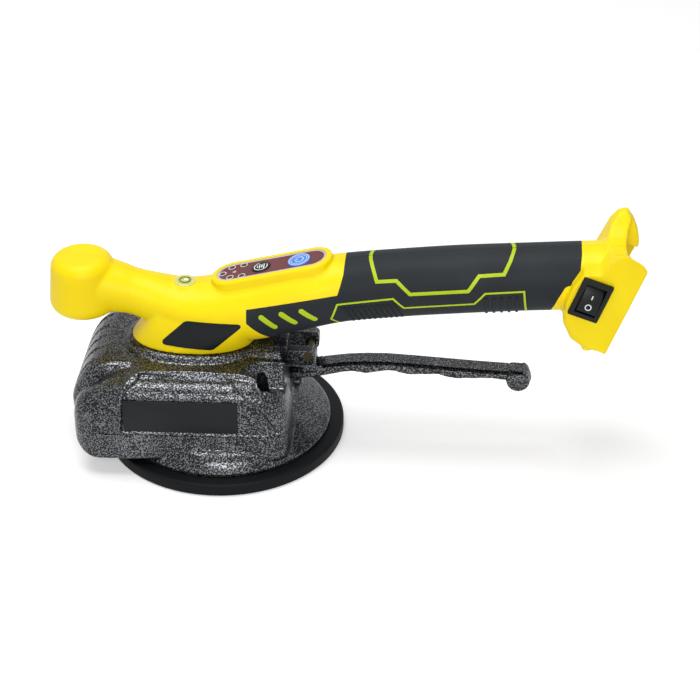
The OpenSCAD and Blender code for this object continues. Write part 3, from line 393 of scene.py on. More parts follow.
def solid(name, *forms):
    """One object, in millimetres, from forms."""
    points, faces = [], []
    for form_points, form_faces in forms:
        faces += [[i + len(points) for i in face] for face in form_faces]
        points += [tuple(p) for p in form_points]
    mesh = bpy.data.meshes.new(name)
    mesh.from_pydata(points, [], faces)
    sides = bmesh.new()
    sides.from_mesh(mesh)
    bmesh.ops.recalc_face_normals(sides, faces=sides.faces)
    sides.to_mesh(mesh)
    sides.free()
    obj = bpy.data.objects.new(name, mesh)
    bpy.context.scene.collection.objects.link(obj)
    return obj


UNIT_SQUARE = rectangle(0, 0, 1, 1)
print("a unit box as a slab has", len(slab(UNIT_SQUARE, 0, 1)[1]), "faces")

# %% [markdown]
# ### Fusing and cutting
# Modifiers could stay live on every piece, but the next cut needs real faces to work on, so each
# one is worked into the mesh at once. A voxel remesh fuses, and a boolean cuts.

# %% Fusing and cutting
def applied(obj):
    """The object with its modifiers worked into its mesh."""
    shown = obj.evaluated_get(bpy.context.evaluated_depsgraph_get())
    mesh = bpy.data.meshes.new_from_object(shown)
    obj.modifiers.clear()
    obj.data = mesh
    return obj


def fused(obj, voxel, passes):
    """The object's overlapping solids as one skin, rounded by smoothing passes."""
    remesh = obj.modifiers.new("fuse", "REMESH")
    remesh.mode = "VOXEL"
    remesh.voxel_size = voxel
    soften = obj.modifiers.new("soften", "SMOOTH")
    soften.factor = 0.5
    soften.iterations = passes
    return applied(obj)


def cut(obj, *forms, operation="DIFFERENCE"):
    """Cuts forms out of the object, or keeps what lies in them, with crisp edges."""
    tool = solid("tool", *forms)
    boolean = obj.modifiers.new("cut", "BOOLEAN")
    boolean.object = tool
    boolean.operation = operation
    boolean.solver = "MANIFOLD"
    applied(obj)
    bpy.data.objects.remove(tool)
    return obj


print("meshes so far, with the CAD parts:", len(bpy.data.meshes))

# %% [markdown]
# ### Copies, forms and edges
# One fused form serves as the pattern for several pieces, so pieces are cut from copies of it. A
# mesh can also be read back as a form, to be cut with others or fused again. A bevel rounds the
# edges of the pieces that aren't fused.

# %% Copies, forms and edges
BEVEL_FROM = 35  # edges whose faces meet at more than these degrees are rounded


def copy_of(obj, name):
    """A second object with its own copy of the mesh."""
    twin = bpy.data.objects.new(name, obj.data.copy())
    bpy.context.scene.collection.objects.link(twin)
    return twin


def form_of(obj, unit):
    """An object's shape as points and faces in the given unit, with split corners joined again."""
    shape = bmesh.new()
    shape.from_mesh(obj.data)
    bmesh.ops.remove_doubles(shape, verts=shape.verts, dist=1e-4 * unit)
    shape.verts.index_update()
    form = [tuple(v.co / unit) for v in shape.verts], [[v.index for v in f.verts] for f in shape.faces]
    shape.free()
    return form


def edged(obj, width, steps=2):
    """The object with its sharp edges rounded to that width."""
    bevel = obj.modifiers.new("edge", "BEVEL")
    bevel.width = width
    bevel.segments = steps
    bevel.limit_method = "ANGLE"
    bevel.angle_limit = math.radians(BEVEL_FROM)
    return applied(obj)


print("a bevel rounds edges from", BEVEL_FROM, "degrees")

# %% [markdown]
# ### Seating
# A piece is seated last: it comes from millimetres to metres, gets its finish, and is tied to the
# CAD body that carries it, so that it moves with that body. Its faces are shaded smooth, and only
# the edges that are really sharp stay creases.

# %% Seating
CREASE_FROM = 40  # degrees


def seated(obj, material, body="body", stands_for=()):
    """Brings a piece to metres, gives it its finish and ties it to a CAD body."""
    obj.data.transform(Matrix.Scale(MM, 4))
    obj.data.materials.clear()
    obj.data.materials.append(material)
    sides = bmesh.new()
    sides.from_mesh(obj.data)
    for face in sides.faces:
        face.smooth = True
    for edge in sides.edges:
        edge.smooth = edge.calc_face_angle(0) < math.radians(CREASE_FROM)
    sides.to_mesh(obj.data)
    sides.free()
    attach(obj, body)
    if stands_for:
        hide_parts(*stands_for)
    print(f"{obj.name}: {len(obj.data.polygons)} faces on {body}")
    return obj


print("edges show as creases from", CREASE_FROM, "degrees")

# %% [markdown]
# ## Handle
# The handle is moulded in two halves that meet on the middle plane. Its tube runs back from a round
# knob, swells over the body, and ends in the foot that takes the battery. Sculpting would give such
# a form too, but a loft through rounded rings, with a turned knob, a pedestal of ovals and a lofted
# foot, can be measured. Fused, they get the soft blends of the real moulding.

# %% Handle stations
def round_station(x, height, radius):
    """A round ring of the handle: x, top, bottom, half width, height of its widest line."""
    return [x, height + radius, height - radius, radius, height]


HANDLE_STATIONS = [
    round_station(-58, 82, 13.5), round_station(-47, 79.8, 12), round_station(-41, 77.8, 11.6),
    [-30, 86.6, 62, 13.4, 74], [-17, 84.2, 59.5, 16, 71.5], [-2, 86.2, 58, 18, 71.5],
    [17, 91.4, 57, 18.6, 74], [40, 97.8, 63, 17.6, 80],
    round_station(61.5, 85.4, 16.5), round_station(88, 89.2, 16.3), round_station(116.5, 92.5, 16.3),
    round_station(148, 95.4, 16.1), round_station(166, 96.8, 16.2), round_station(184, 98, 16.3)]
HANDLE_SQUARENESS = 0.94


def smooth_rows(rows, steps):
    """Rows of numbers on a smooth curve through the given rows."""
    rows = np.asarray(rows, float)
    ends = np.vstack([rows[:1], rows, rows[-1:]])
    curve = []
    for a, b, c, d in zip(ends, ends[1:], ends[2:], ends[3:]):
        for t in np.arange(steps) / steps:
            curve.append(0.5 * (2 * b + t * (c - a) + t ** 2 * (2 * a - 5 * b + 4 * c - d)
                                + t ** 3 * (3 * b - a - 3 * c + d)))
    return np.array(curve + [rows[-1]])


def signed_power(value, power):
    """A power that keeps the sign of its value."""
    return np.sign(value) * np.abs(value) ** power


def handle_ring(station, sides=96):
    """Ring of points across the handle at one station."""
    x, top, bottom, half, middle = station
    angle = np.arange(sides) * 2 * math.pi / sides
    up = signed_power(np.sin(angle), HANDLE_SQUARENESS)
    reach = np.where(up > 0, top - middle, middle - bottom)
    return np.stack([np.full(sides, x), half * signed_power(np.cos(angle), HANDLE_SQUARENESS),
                     middle + reach * up], axis=1)


print("stations along the handle:", len(HANDLE_STATIONS))

# %% [markdown]
# ### Knob and pedestal
# The tube is lofted through its stations. The knob is turned, with rounded edges. The pedestal is a
# stack of ovals that draws in as it rises, so that it seems to grow out of the casting.

# %% Tube, knob and pedestal
KNOB_X, KNOB_LOW, KNOB_HIGH, KNOB_LOW_R, KNOB_HIGH_R, KNOB_EDGE = -67.5, 67.9, 97.5, 17, 15.4, 6
FOOT_X, FOOT_HALF_LENGTH, FOOT_HALF_WIDTH, BOSS_TOP = -13.8, 31, 20, 55.2
OVAL_SQUARENESS = 0.92
# height above the casting, and how much shorter and narrower the pedestal is there
PEDESTAL_ROWS = [(0, 0, 0), (2, 1.6, 0.6), (5, 4.6, 1.4), (9, 7, 2.2), (15, 8.6, 3.6)]


def arc(centre, radius, start, end, steps):
    """Points on an arc, from one angle to another in degrees."""
    angles = [math.radians(a) for a in np.linspace(start, end, steps)]
    return [(centre[0] + radius * math.cos(a), centre[1] + radius * math.sin(a)) for a in angles]


def oval(height, half_length, half_width, sides=96):
    """Oval ring round the middle of the handle's pedestal."""
    angle = np.arange(sides) * 2 * math.pi / sides
    along = half_length * signed_power(np.cos(angle), OVAL_SQUARENESS)
    aside = half_width * signed_power(np.sin(angle), OVAL_SQUARENESS)
    return np.stack([FOOT_X + along, aside, np.full(sides, height)], axis=1)


tube = loft([handle_ring(s) for s in smooth_rows(HANDLE_STATIONS, 10)])
low_edge = arc((KNOB_LOW_R - KNOB_EDGE, KNOB_LOW + KNOB_EDGE), KNOB_EDGE, -90, 0, 8)
high_edge = arc((KNOB_HIGH_R - KNOB_EDGE, KNOB_HIGH - KNOB_EDGE), KNOB_EDGE, 0, 90, 8)
knob = lathe([(0, KNOB_LOW)] + low_edge + high_edge + [(0, KNOB_HIGH)], (KNOB_X, 0))
pedestal = loft([oval(BOSS_TOP + up, FOOT_HALF_LENGTH - shorter, FOOT_HALF_WIDTH - narrower)
                 for up, shorter, narrower in smooth_rows(PEDESTAL_ROWS, 4)])
print("tube, knob and pedestal:", [len(form[0]) for form in (tube, knob, pedestal)], "points")

# %% [markdown]
# ### Battery foot
# The foot is lofted through side outlines, from the near cheek, which carries the switch, to the
# far cheek with its higher fin. A scoop across its top and a channel at its open end are cut before
# the fusion, so that their edges come out soft, as moulded ones do. A small peg stands below.

# %% Battery foot
CHEEK = 22
FOOT_LEAN = math.radians(19.6)
SLIDE_FRAME = Matrix.Translation((195, 0, 91.1)) @ Matrix.Rotation(FOOT_LEAN, 4, "Y")
NEAR_FACE = [(168.2, 84.5), (172.4, 76.4), (178.8, 70.8), (187, 66.6), (203.7, 113.2), (201.6, 117.2),
             (197, 120.2), (193.4, 121.6), (190, 120.6), (187, 117.8), (182.2, 110.6), (174.6, 110.2),
             (169.6, 103), (167, 94)]
NEAR_WIDE = [(165.8, 83), (170, 73.8), (177, 68.4), (187, 66.4), (203.7, 112.4), (201.4, 115.4),
             (197, 117.6), (193.4, 118.8), (190, 118), (187, 115.6), (182.2, 110.6), (174.6, 110.2),
             (169.6, 103), (166.6, 94)]
FAR_FACE = [(168.2, 85), (172.6, 78), (179, 73), (186.5, 70), (201.6, 107.5), (200.6, 113), (198.2, 119),
            (194.8, 123.8), (190.6, 122.6), (187, 118.2), (180.6, 103.6), (174, 100), (169, 96), (166, 90)]
FOOT_SECTIONS = [(-CHEEK, NEAR_FACE), (2 - CHEEK, NEAR_WIDE), (-8, NEAR_WIDE), (14, FAR_FACE),
                 (CHEEK, FAR_FACE)]
SADDLE = [(-19, 130), (-17.5, 121), (-15, 117.6), (-10, 115.2), (0, 114.4), (6, 115.2), (12, 118.4),
          (17, 123.4), (20.5, 130)]
SADDLE_ENDS = 155, 220
OPEN_NEAR, OPEN_FROM, OPEN_TO = -18.5, -8, 12
OPEN_WALLS = [(12, 12), (32, 19.5), (45, 21)]  # height along the slide, and where the far wall stands
PEG_PLACE, PEG_LOW, PEG_TOP, PEG_R = (178, -18), 66.8, 75, 2.6

foot_block = solid("foot", loft([[(x, y, z) for x, z in face] for y, face in FOOT_SECTIONS]))
cut(foot_block, loft([[(x, y, z) for y, z in SADDLE] for x in SADDLE_ENDS]))
open_end = loft([[(x, y, z) for x, y in rectangle(OPEN_FROM, OPEN_NEAR, OPEN_TO, wall)]
                 for z, wall in OPEN_WALLS])
cut(foot_block, placed(open_end, SLIDE_FRAME))
foot = form_of(foot_block, 1)
bpy.data.objects.remove(foot_block)
peg = lathe([(0, PEG_LOW), (PEG_R - 1, PEG_LOW), (PEG_R, PEG_LOW + 1.2), (PEG_R, PEG_TOP), (0, PEG_TOP)],
            PEG_PLACE, 24)
print("battery foot:", len(foot[0]), "points")

# %% [markdown]
# ### One skin
# The control panel sits on a raised oval and the level in a small round boss, both part of the
# same moulding. They go into the fusion too, so that their feet melt into the neck. A drape, the
# hull of the pedestal's bottom and the neck's sides, fills the hollow between these two.

# %% Fused handle
PANEL_FRAME = Matrix.Translation((25.3, 0, 96)) @ Matrix.Rotation(math.radians(-14.4), 4, "Y")
OVERLAY_LENGTH, OVERLAY_WIDTH, POD_RIM, POD_TOP, POD_DEPTH = 55, 14.6, 3, 0.2, 9
POD_LENGTH, POD_WIDTH = OVERLAY_LENGTH + 2 * POD_RIM, OVERLAY_WIDTH + 2 * POD_RIM
VIAL_X, VIAL_TOP, VIAL_R, VIAL_H = -17.2, 85.2, 4.3, 4.6
NECK = HANDLE_STATIONS[3:7]
HANDLE_VOXEL, HANDLE_PASSES = 0.75, 6


def hull_of(points):
    """Convex solid round a cloud of points."""
    shell = bmesh.new()
    for p in points:
        shell.verts.new(p)
    result = bmesh.ops.convex_hull(shell, input=shell.verts)
    inside = list(set(result["geom_interior"] + result["geom_unused"]))
    bmesh.ops.delete(shell, geom=inside, context="VERTS")
    shell.verts.index_update()
    form = [tuple(v.co) for v in shell.verts], [[v.index for v in f.verts] for f in shell.faces]
    shell.free()
    return form


def stadium(length, width, steps=24):
    """Round-ended bar outline."""
    half, radius = (length - width) / 2, width / 2
    return arc((half, 0), radius, -90, 90, steps) + arc((-half, 0), radius, 90, 270, steps)


def from_vial_top(profile):
    """(radius, height) pairs whose heights count from the top of the level's boss."""
    return [(r, VIAL_TOP + z) for r, z in profile]


pod_form = placed(slab(stadium(POD_LENGTH, POD_WIDTH), -POD_DEPTH, POD_TOP), PANEL_FRAME)
boss_profile = [(0, -12), (VIAL_R + 2.2, -12), (VIAL_R + 1.9, -1), (VIAL_R + 1.2, 0), (0, 0)]
vial_boss = lathe(from_vial_top(boss_profile), (VIAL_X, 0))
neck_sides = [(x, sign * (half - 0.2), middle) for x, _, _, half, middle in NECK for sign in (-1, 1)]
drape = hull_of([tuple(p) for p in oval(BOSS_TOP, FOOT_HALF_LENGTH, FOOT_HALF_WIDTH)] + neck_sides)
handle = solid("handle", tube, knob, pedestal, drape, foot, peg, pod_form, vial_boss)
fused(handle, HANDLE_VOXEL, HANDLE_PASSES)
handle_skin = BVHTree.FromPolygons([v.co.copy() for v in handle.data.vertices],
                                   [p.vertices[:] for p in handle.data.polygons])
print("handle:", len(handle.data.polygons), "faces")

# %% [markdown]
# ### Shell, grip and pod
# The grip is a soft skin moulded over the middle of the tube. Its edge is a plain line in the
# side view, so one outline across the handle cuts the fused form into yellow and black. A hair of
# space between the two draws the dark line that the eye expects where two materials meet.

# %% Cutting blocks
GRIP_OUTLINE = [(63, 125), (61, 98.5), (58.5, 90), (14.7, 80.7), (14.7, 73.6), (24, 64.4), (30, 50),
                (157, 50), (160.4, 84.6), (163.2, 93.2), (166.2, 99.6), (172.3, 103.2), (172.9, 107.3),
                (173.5, 112.6), (172.6, 125)]
GRIP_SWELL = 0.8  # the grip's room is this much wider than the tube, and leaves the foot alone
SEAM = 0.12
SLIDE_WIDTH, SLIDE_DEPTH = 38, 9
ROCKER_FRAME = Matrix.Translation((178.1, -CHEEK, 97.6)) @ Matrix.Rotation(FOOT_LEAN, 4, "Y")
ROCKER_HOLE = (-6.8, -10, -9.8), (6.8, 15.5, 8.5)
ABOVE = 30  # cutters of the panel reach this far above it


def box(low, high):
    """Plain box between two corners, for cutting."""
    return slab(rectangle(low[0], low[1], high[0], high[1]), low[2], high[2])


def carved(form, *tools, operation="DIFFERENCE"):
    """A form with others cut out of it, or only what lies in them."""
    block = cut(solid("block", form), *tools, operation=operation)
    result = form_of(block, 1)
    bpy.data.objects.remove(block)
    return result


half_spaces = {"near": box((-200, -100, -50), (300, -SEAM / 2, 250)),
               "far": box((-200, SEAM / 2, -50), (300, 100, 250))}
wide_rows = smooth_rows(HANDLE_STATIONS, 10) + np.array([0, GRIP_SWELL, -GRIP_SWELL, GRIP_SWELL, 0])
grip_block = carved(slab(GRIP_OUTLINE, -40, 40, across=True), loft([handle_ring(s) for s in wide_rows]),
                    operation="INTERSECT")
pod_inside = placed(slab(stadium(POD_LENGTH, POD_WIDTH), -POD_DEPTH, ABOVE), PANEL_FRAME)
pod_block = placed(slab(stadium(POD_LENGTH + SEAM, POD_WIDTH + SEAM), -POD_DEPTH, ABOVE), PANEL_FRAME)
slide_block = placed(box((-SLIDE_DEPTH, -SLIDE_WIDTH / 2, -40), (10, SLIDE_WIDTH / 2, 16)), SLIDE_FRAME)
rocker_block = placed(box(*ROCKER_HOLE), ROCKER_FRAME)
vial_room = [(0, -VIAL_H), (VIAL_R + 0.1, -VIAL_H), (VIAL_R + 0.1, 9), (0, 9)]
vial_block = lathe(from_vial_top(vial_room), (VIAL_X, 0))
print("grip's room:", len(grip_block[0]), "points")

# %% [markdown]
# The blocks now part the fused form. Each cut works on a copy, so the form itself stays whole for
# the plates and the inlays further down. The middle plane parts shell and grip into two halves.

# %% Shell and grip
grip = cut(copy_of(handle, "grip"), grip_block, operation="INTERSECT")
cut(grip, pod_block)
pod = cut(copy_of(handle, "pod"), pod_inside, operation="INTERSECT")
shell = copy_of(handle, "shell")
for block in (grip_block, pod_block, slide_block, rocker_block, vial_block):
    cut(shell, block)
for side, half_space in half_spaces.items():
    half_shell = cut(copy_of(shell, f"shell_{side}"), half_space, operation="INTERSECT")
    seated(half_shell, yellow_abs, "body", [f"handle_shell_{side}"])
    half_grip = cut(copy_of(grip, f"soft_grip_{side}"), half_space, operation="INTERSECT")
    seated(half_grip, black_tpe, "body", [f"grip_{side}"])
for spare in (shell, grip):
    bpy.data.objects.remove(spare)

# %% [markdown]
# ## Control panel
# A printed film lies in the pod, with a silver border, a ring of lamps for the speed steps and two
# round keys. The film has real holes, so the keys stand in them and can be pressed. The marks are
# thin raised prints: plain signs, with no words.

# %% Pod and film
FILM_T, BORDER = 0.9, 1.0
MODE_X, MODE_D, POWER_X, POWER_D = -5.2, 9.4, 13.9, 11.4
LAMPS = [(-24.6, 0), (-20.4, 4.6), (-20.4, -4.6), (-14.4, 5), (-14.4, -5)]
AMBER_LAMP = (-18.6, 0)
LAMP_R = 1.1
KEY_GAP, FILM_GAP = 0.15, 0.3
POD_WALL, POD_FLOOR = 3.6, 2.2


def disc(centre, radius, sides=48):
    """Round outline."""
    return arc(centre, radius, 0, 360 * (1 - 1 / sides), sides)


def on_panel(outline, low, high):
    """An outline with a thickness, lying on the control panel."""
    return placed(slab(outline, low, high), PANEL_FRAME)


key_holes = [on_panel(disc((x, 0), across / 2 + KEY_GAP), -8, 3)
             for x, across in ((MODE_X, MODE_D), (POWER_X, POWER_D))]
lamp_holes = [on_panel(disc(p, LAMP_R), -4, 3) for p in LAMPS + [AMBER_LAMP]]
film_outline = stadium(OVERLAY_LENGTH - 2 * BORDER, OVERLAY_WIDTH - 2 * BORDER)
film = solid("panel_film", on_panel(film_outline, -FILM_T, 0))
cut(pod, on_panel(stadium(OVERLAY_LENGTH + FILM_GAP, OVERLAY_WIDTH + FILM_GAP), -FILM_T, 9))
cut(pod, on_panel(stadium(POD_LENGTH - POD_WALL, POD_WIDTH - POD_WALL), -30, -FILM_T - POD_FLOOR))
for piece in (pod, film):
    cut(piece, *key_holes)
    cut(piece, *lamp_holes)
seated(pod, yellow_abs, "body", ["control_pod"])
seated(film, maroon_film, "body", ["panel_overlay"])
border = solid("panel_border", on_panel(stadium(OVERLAY_LENGTH, OVERLAY_WIDTH), -FILM_T, 0.03))
cut(border, on_panel(film_outline, -3, 3))
seated(border, silver_print, "body")

# %% [markdown]
# ### Lamps and keys
# Five lamps in white rings count the speed steps, and a sixth one glows amber. The keys are short
# round plugs with a rounded edge. Each key rides on a body of its own, so that it goes down when it
# is pressed.

# %% Lamps and keys
PRINT_T = 0.06
LENS_GAP, LENS_EDGE = 0.02, 0.15
KEY_LOW, KEY_PROUD, KEY_EDGE = -3.2, 0.4, 0.35


def ring(centre, outer, inner, low, high, start=0, end=360):
    """Flat ring or part of one, on the control panel."""
    section = [(inner, low), (outer, low), (outer, high), (inner, high)]
    return placed(hoop(section, centre, start, end, sides=40), PANEL_FRAME)


def key(name, x, across):
    """Round key with a rounded edge."""
    return edged(solid(name, on_panel(disc((x, 0), across / 2), KEY_LOW, KEY_PROUD)), KEY_EDGE, 3)


lamp_rings = solid("lamp_rings", *[ring(p, 1.85, 1.5, -0.02, PRINT_T) for p in LAMPS])
seated(lamp_rings, white_print, "body")
lenses = solid("lamp_lenses", *[on_panel(disc(p, LAMP_R - LENS_GAP), -3, -0.05) for p in LAMPS])
seated(edged(lenses, LENS_EDGE), dark_lens, "body", ["led_lenses"])
amber = solid("amber_lamp", on_panel(disc(AMBER_LAMP, LAMP_R - LENS_GAP), -3, 0.05))
seated(edged(amber, LENS_EDGE), amber_lens, "body")
seated(key("mode_key", MODE_X, MODE_D), black_nylon, "mode_key", ["mode_button"])
seated(key("power_key", POWER_X, POWER_D), blue_plastic, "power_key", ["power_button"])

# %% [markdown]
# ### Signs on the keys
# The signs are printed on the keys: bars in a broken ring for shaking, and the usual sign for power
# inside two fine rings. A picture could carry them, but thin raised shapes stay sharp from near by
# and go down with the key.

# %% Signs on the keys
SIGN_LOW = 0.38
SIGN_HIGH = SIGN_LOW + PRINT_T
BAR_HALF, STROKE_HALF = 0.28, 0.3
BARS = [(-1.6, 0.9), (-0.55, 1.9), (0.55, 1.3), (1.6, 2.1)]  # where each bar stands, and half its length
bars = [on_panel(rectangle(MODE_X + x - BAR_HALF, -h, MODE_X + x + BAR_HALF, h), SIGN_LOW, SIGN_HIGH)
        for x, h in BARS]
shake_sign = solid("shake_sign", ring((MODE_X, 0), 3.5, 3.0, SIGN_LOW, SIGN_HIGH, 110, 390), *bars)
seated(shake_sign, white_print, "mode_key")
stroke = rectangle(POWER_X - 2.4, -STROKE_HALF, POWER_X - 0.2, STROKE_HALF)
power_rings = [(5.2, 4.75, 0, 360), (4.1, 3.75, 0, 360), (2.5, 1.9, 220, 500)]
power_sign = solid("power_sign", *[ring((POWER_X, 0), outer, inner, SIGN_LOW, SIGN_HIGH, start, end)
                                   for outer, inner, start, end in power_rings],
                   on_panel(stroke, SIGN_LOW, SIGN_HIGH))
seated(power_sign, pale_blue_print, "power_key")

# %% [markdown]
# ## Level
# A small bubble level is pressed into a boss on the neck: a clear acrylic cup with yellow-green
# spirit in it, a dark ring to read it by, and a bubble. The spirit shows as its own colour through
# the acrylic, so one glossy, slightly see-through finish does for both.

# %% Spirit and acrylic
spirit, tree, shader, place = new_finish("green_spirit_in_acrylic")
glow = add(tree, "ShaderNodeTexNoise", {"Scale": per_mm(3)}, {"Vector": place})
tint = blended(tree, glow.outputs["Fac"], 0.3, 0.7, "#c6d94a", "#dbe86a")
tree.links.new(tint, shader.inputs["Base Color"])
shader.inputs["Roughness"].default_value = 0.08
shader.inputs["IOR"].default_value = 1.49
shader.inputs["Transmission Weight"].default_value = 0.25
# Frosted acrylic: the rim that holds the cup, pale and dull beside the clear top.
frosted_acrylic = moulded("frosted_acrylic", "#e0d98a", "#d4cb78", 0.30, 0.5, 0.01, 1.49)
print("level finishes:", spirit.name, frosted_acrylic.name)

# %% [markdown]
# All pieces of the level are turned, so each is a profile of radius and height. The bubble is half a
# ball that is pressed flat, a little off the middle, as it is when the table is not quite level.

# %% Level
VIAL_RIM = 5.2
BUBBLE_R, BUBBLE_FLAT, BUBBLE_LOW = 1.3, 0.4, VIAL_TOP + 0.3
cup_profile = [(0, -VIAL_H), (VIAL_R, -VIAL_H), (VIAL_R, 0.1), (VIAL_R - 0.9, 0.35), (2, 0.6), (0, 0.65)]
vial_cup = solid("level_cup", lathe(from_vial_top(cup_profile), (VIAL_X, 0)))
seated(vial_cup, spirit, "body", ["level_vial"])
rim_profile = [(VIAL_R - 0.5, -0.4), (VIAL_RIM, -0.4), (VIAL_RIM, 0.25), (VIAL_RIM - 0.3, 0.45),
               (VIAL_R - 0.3, 0.45), (VIAL_R - 0.5, 0.3)]
vial_rim = solid("level_rim", hoop(from_vial_top(rim_profile), (VIAL_X, 0)))
seated(vial_rim, frosted_acrylic, "body")
reading_profile = [(2.3, 0.45), (2.8, 0.45), (2.8, 0.66), (2.3, 0.68)]
reading_ring = solid("reading_ring", hoop(from_vial_top(reading_profile), (VIAL_X, 0)))
seated(reading_ring, dark_lens, "body")
# The bubble is drawn in white print: that white is a painted highlight, the shine of an air bubble under the
# lamps.
bubble = solid("level_bubble", lathe([(0, BUBBLE_LOW)] + arc((0, BUBBLE_LOW), BUBBLE_R, 0, 88, 8),
                                     (VIAL_X + 0.4, 0.3)))
bubble.data.transform(Matrix.Translation((0, 0, BUBBLE_LOW)) @ Matrix.Diagonal((1, 1, BUBBLE_FLAT, 1))
                      @ Matrix.Translation((0, 0, -BUBBLE_LOW)))
seated(bubble, white_print, "body")

# %% [markdown]
# ## Inlays on the handle
# The lines and three slots on the grip are the yellow shell, seen in channels of the black skin. They
# are drawn as strips in a lime-green that is that yellow with painted shade. Fine ribs are moulded into
# the grip, and a bare black plate lies on the yellow side. They follow the curved skin, so each is a
# strip whose points are thrown outwards from the handle's axis until they meet the skin, and then lifted a
# little.

# %% Strips on the skin
AXIS = [(row[0], (row[1] + row[2]) / 2) for row in HANDLE_STATIONS]
MITRE_MOST, CHAMFER, TIP_HALF = 1.6, 0.25, 0.3


def on_skin(point):
    """The handle's skin and its direction outwards, straight out from the axis through a point."""
    centre = Vector((point[0], 0, float(np.interp(point[0], *zip(*AXIS)))))
    hit, normal, _, _ = handle_skin.ray_cast(centre, (Vector(point) - centre).normalized())
    return hit, normal if normal.dot(hit - centre) > 0 else -normal


def strip(guides, width, lift, sink=0.6, pace=0.8, round_ends=False):
    """A closed strip over the skin along guide points, square or round at its ends."""
    guides = np.asarray(guides, float)
    line = [guides[0]]
    for a, b in zip(guides, guides[1:]):
        count = max(2, round(float(np.linalg.norm(b - a)) / pace))
        line += [a + (b - a) * k / count for k in range(1, count + 1)]
    feet = [on_skin(p) for p in line]
    travelled = np.cumsum([0] + [(b[0] - a[0]).length for a, b in zip(feet, feet[1:])])
    rings = []
    for k, (foot_point, out) in enumerate(feet):
        before = feet[max(k - 1, 0)][0]
        after = feet[min(k + 1, len(feet) - 1)][0]
        ahead_a = (foot_point - before).normalized() if k > 0 else (after - foot_point).normalized()
        ahead_b = (after - foot_point).normalized() if k < len(feet) - 1 else ahead_a
        ahead = (ahead_a + ahead_b).normalized()
        mitre = min(MITRE_MOST, 1 / max(0.5, ahead.dot(ahead_b)))
        half = width / 2
        to_end = min(travelled[k], travelled[-1] - travelled[k])
        if round_ends and to_end < half:
            half = max(TIP_HALF, math.sqrt(half ** 2 - (half - to_end) ** 2))
        aside = out.cross(ahead).normalized() * (half * mitre)
        ring_points = []
        for sign in (-1, 1):
            edge, edge_out = on_skin(foot_point + aside * sign)
            inner = edge - aside.normalized() * (CHAMFER * sign)
            rows = [edge - edge_out * sink, edge + edge_out * lift * 0.6, inner + edge_out * lift]
            ring_points += rows if sign < 0 else rows[::-1]
        rings.append(ring_points)
    return loft(rings)


def both_sides(guides):
    """The guides on the near side, and mirrored onto the far side."""
    return [guides, [(x, -y, z) for x, y, z in guides]]


top_of_grip = on_skin((100, 0, 120))[0]
print("top of the grip, 100 mm along:", round(top_of_grip.z, 1), "mm")

# %% [markdown]
# ### Lime lines, slots and ribs
# Two lines run round the grip on each side, and three slots stand in a row before them; their
# lime-green is the shell's yellow with painted shade. Ribs roughen the grip where the hand closes. Each
# has its guide points on the near side, and the far side gets the same ones, mirrored. The ribs come in
# rows that climb with the handle.

# %% Lime lines, slots and ribs
UPPER_LINE = [(73.4, -0.2, 103.5), (73.7, -3.5, 103.2), (74.8, -7.9, 101.7), (77.2, -13.4, 97.1),
              (86.5, -13.5, 98.1), (93.3, -16.1, 92.5), (120.7, -16.1, 95.5), (125.6, -13.4, 102.5),
              (137.3, -13.2, 103.8), (139.9, -8.9, 108.1), (141.2, -4.4, 110.3), (141.8, -0.2, 111)]
LOWER_LINE = [(62, -0.2, 68.6), (60, -10, 71), (57.6, -13.2, 74.2), (55.5, -15, 76.2), (58.5, -16.6, 85.3),
              (85.2, -16.2, 89.7), (90.5, -15.6, 84.5), (123.8, -15.6, 88.4), (128.8, -16.2, 94.6),
              (147.1, -16, 96.5), (148.6, -11.4, 83.6), (149.2, -5, 79.8), (149.4, -0.2, 79.2)]
SLOTS = [[(21, -18.2, 78.2), (29.5, -17.1, 71.1)], [(30.7, -17.8, 80.2), (39.2, -16.7, 73.9)],
         [(40.3, -17.4, 82.1), (48.8, -16, 75.9)]]
FRONT_RIB = [(61.8, -16.4, 83.6), (64.2, -14.6, 78.6), (66.2, -11.5, 74.4)]
REAR_RIB = [(129.4, -16, 92), (129.6, -14, 86), (129.8, -8, 80), (129.8, -0.2, 78)]
UPPER_LINE_W, LOWER_LINE_W, SLOT_W, LIME_LIFT = 1.75, 0.95, 2.7, 0.12
RIB_W, RIB_LIFT = 1.35, 0.55


def rib_row(rib, count, pitch, climb):
    """Copies of a rib in a row that climbs as it goes back."""
    return [[(x + k * pitch, y, z + climb * (k * pitch)) for x, y, z in rib] for k in range(count)]


# These strips carry the shell's yellow with painted shade, as it looks down in the grip's channels.
shaded_yellow_lines = solid("shaded_yellow_lines", *[strip(g, UPPER_LINE_W, LIME_LIFT) for g in both_sides(UPPER_LINE)],
                   *[strip(g, LOWER_LINE_W, LIME_LIFT) for g in both_sides(LOWER_LINE)])
seated(shaded_yellow_lines, yellow_in_painted_shade, "body")
shaded_yellow_slots = solid("shaded_yellow_slots", *[strip(g, SLOT_W, LIME_LIFT, pace=0.3, round_ends=True)
                                   for slot in SLOTS for g in both_sides(slot)])
seated(shaded_yellow_slots, yellow_in_painted_shade, "body")
rib_guides = rib_row(FRONT_RIB, 10, 2.6, 0.14) + rib_row(REAR_RIB, 5, 3.6, 0.09)
ribs = solid("grip_ribs", *[strip(g, RIB_W, RIB_LIFT) for rib in rib_guides for g in both_sides(rib)])
seated(ribs, black_tpe, "body")

# %% [markdown]
# ### Bare plates on the yellow sides
# A thin plate lies on each yellow flank and follows its curve. A flat sheet would leave a gap below
# it, so a copy of the handle's skin is swollen by the plate's thickness and cut to its outline.

# %% Bare plates on the yellow sides
PLATE_OUTLINE = [(-27.2, 61.0), (-15.2, 72.4), (11.6, 73.0), (12.2, 71.4), (-1.8, 58.2), (-26.4, 59.3)]
PLATE_LIFT, PLATE_CORNER, PLATE_FROM, PLATE_TO = 0.3, 1.6, 14.5, 40


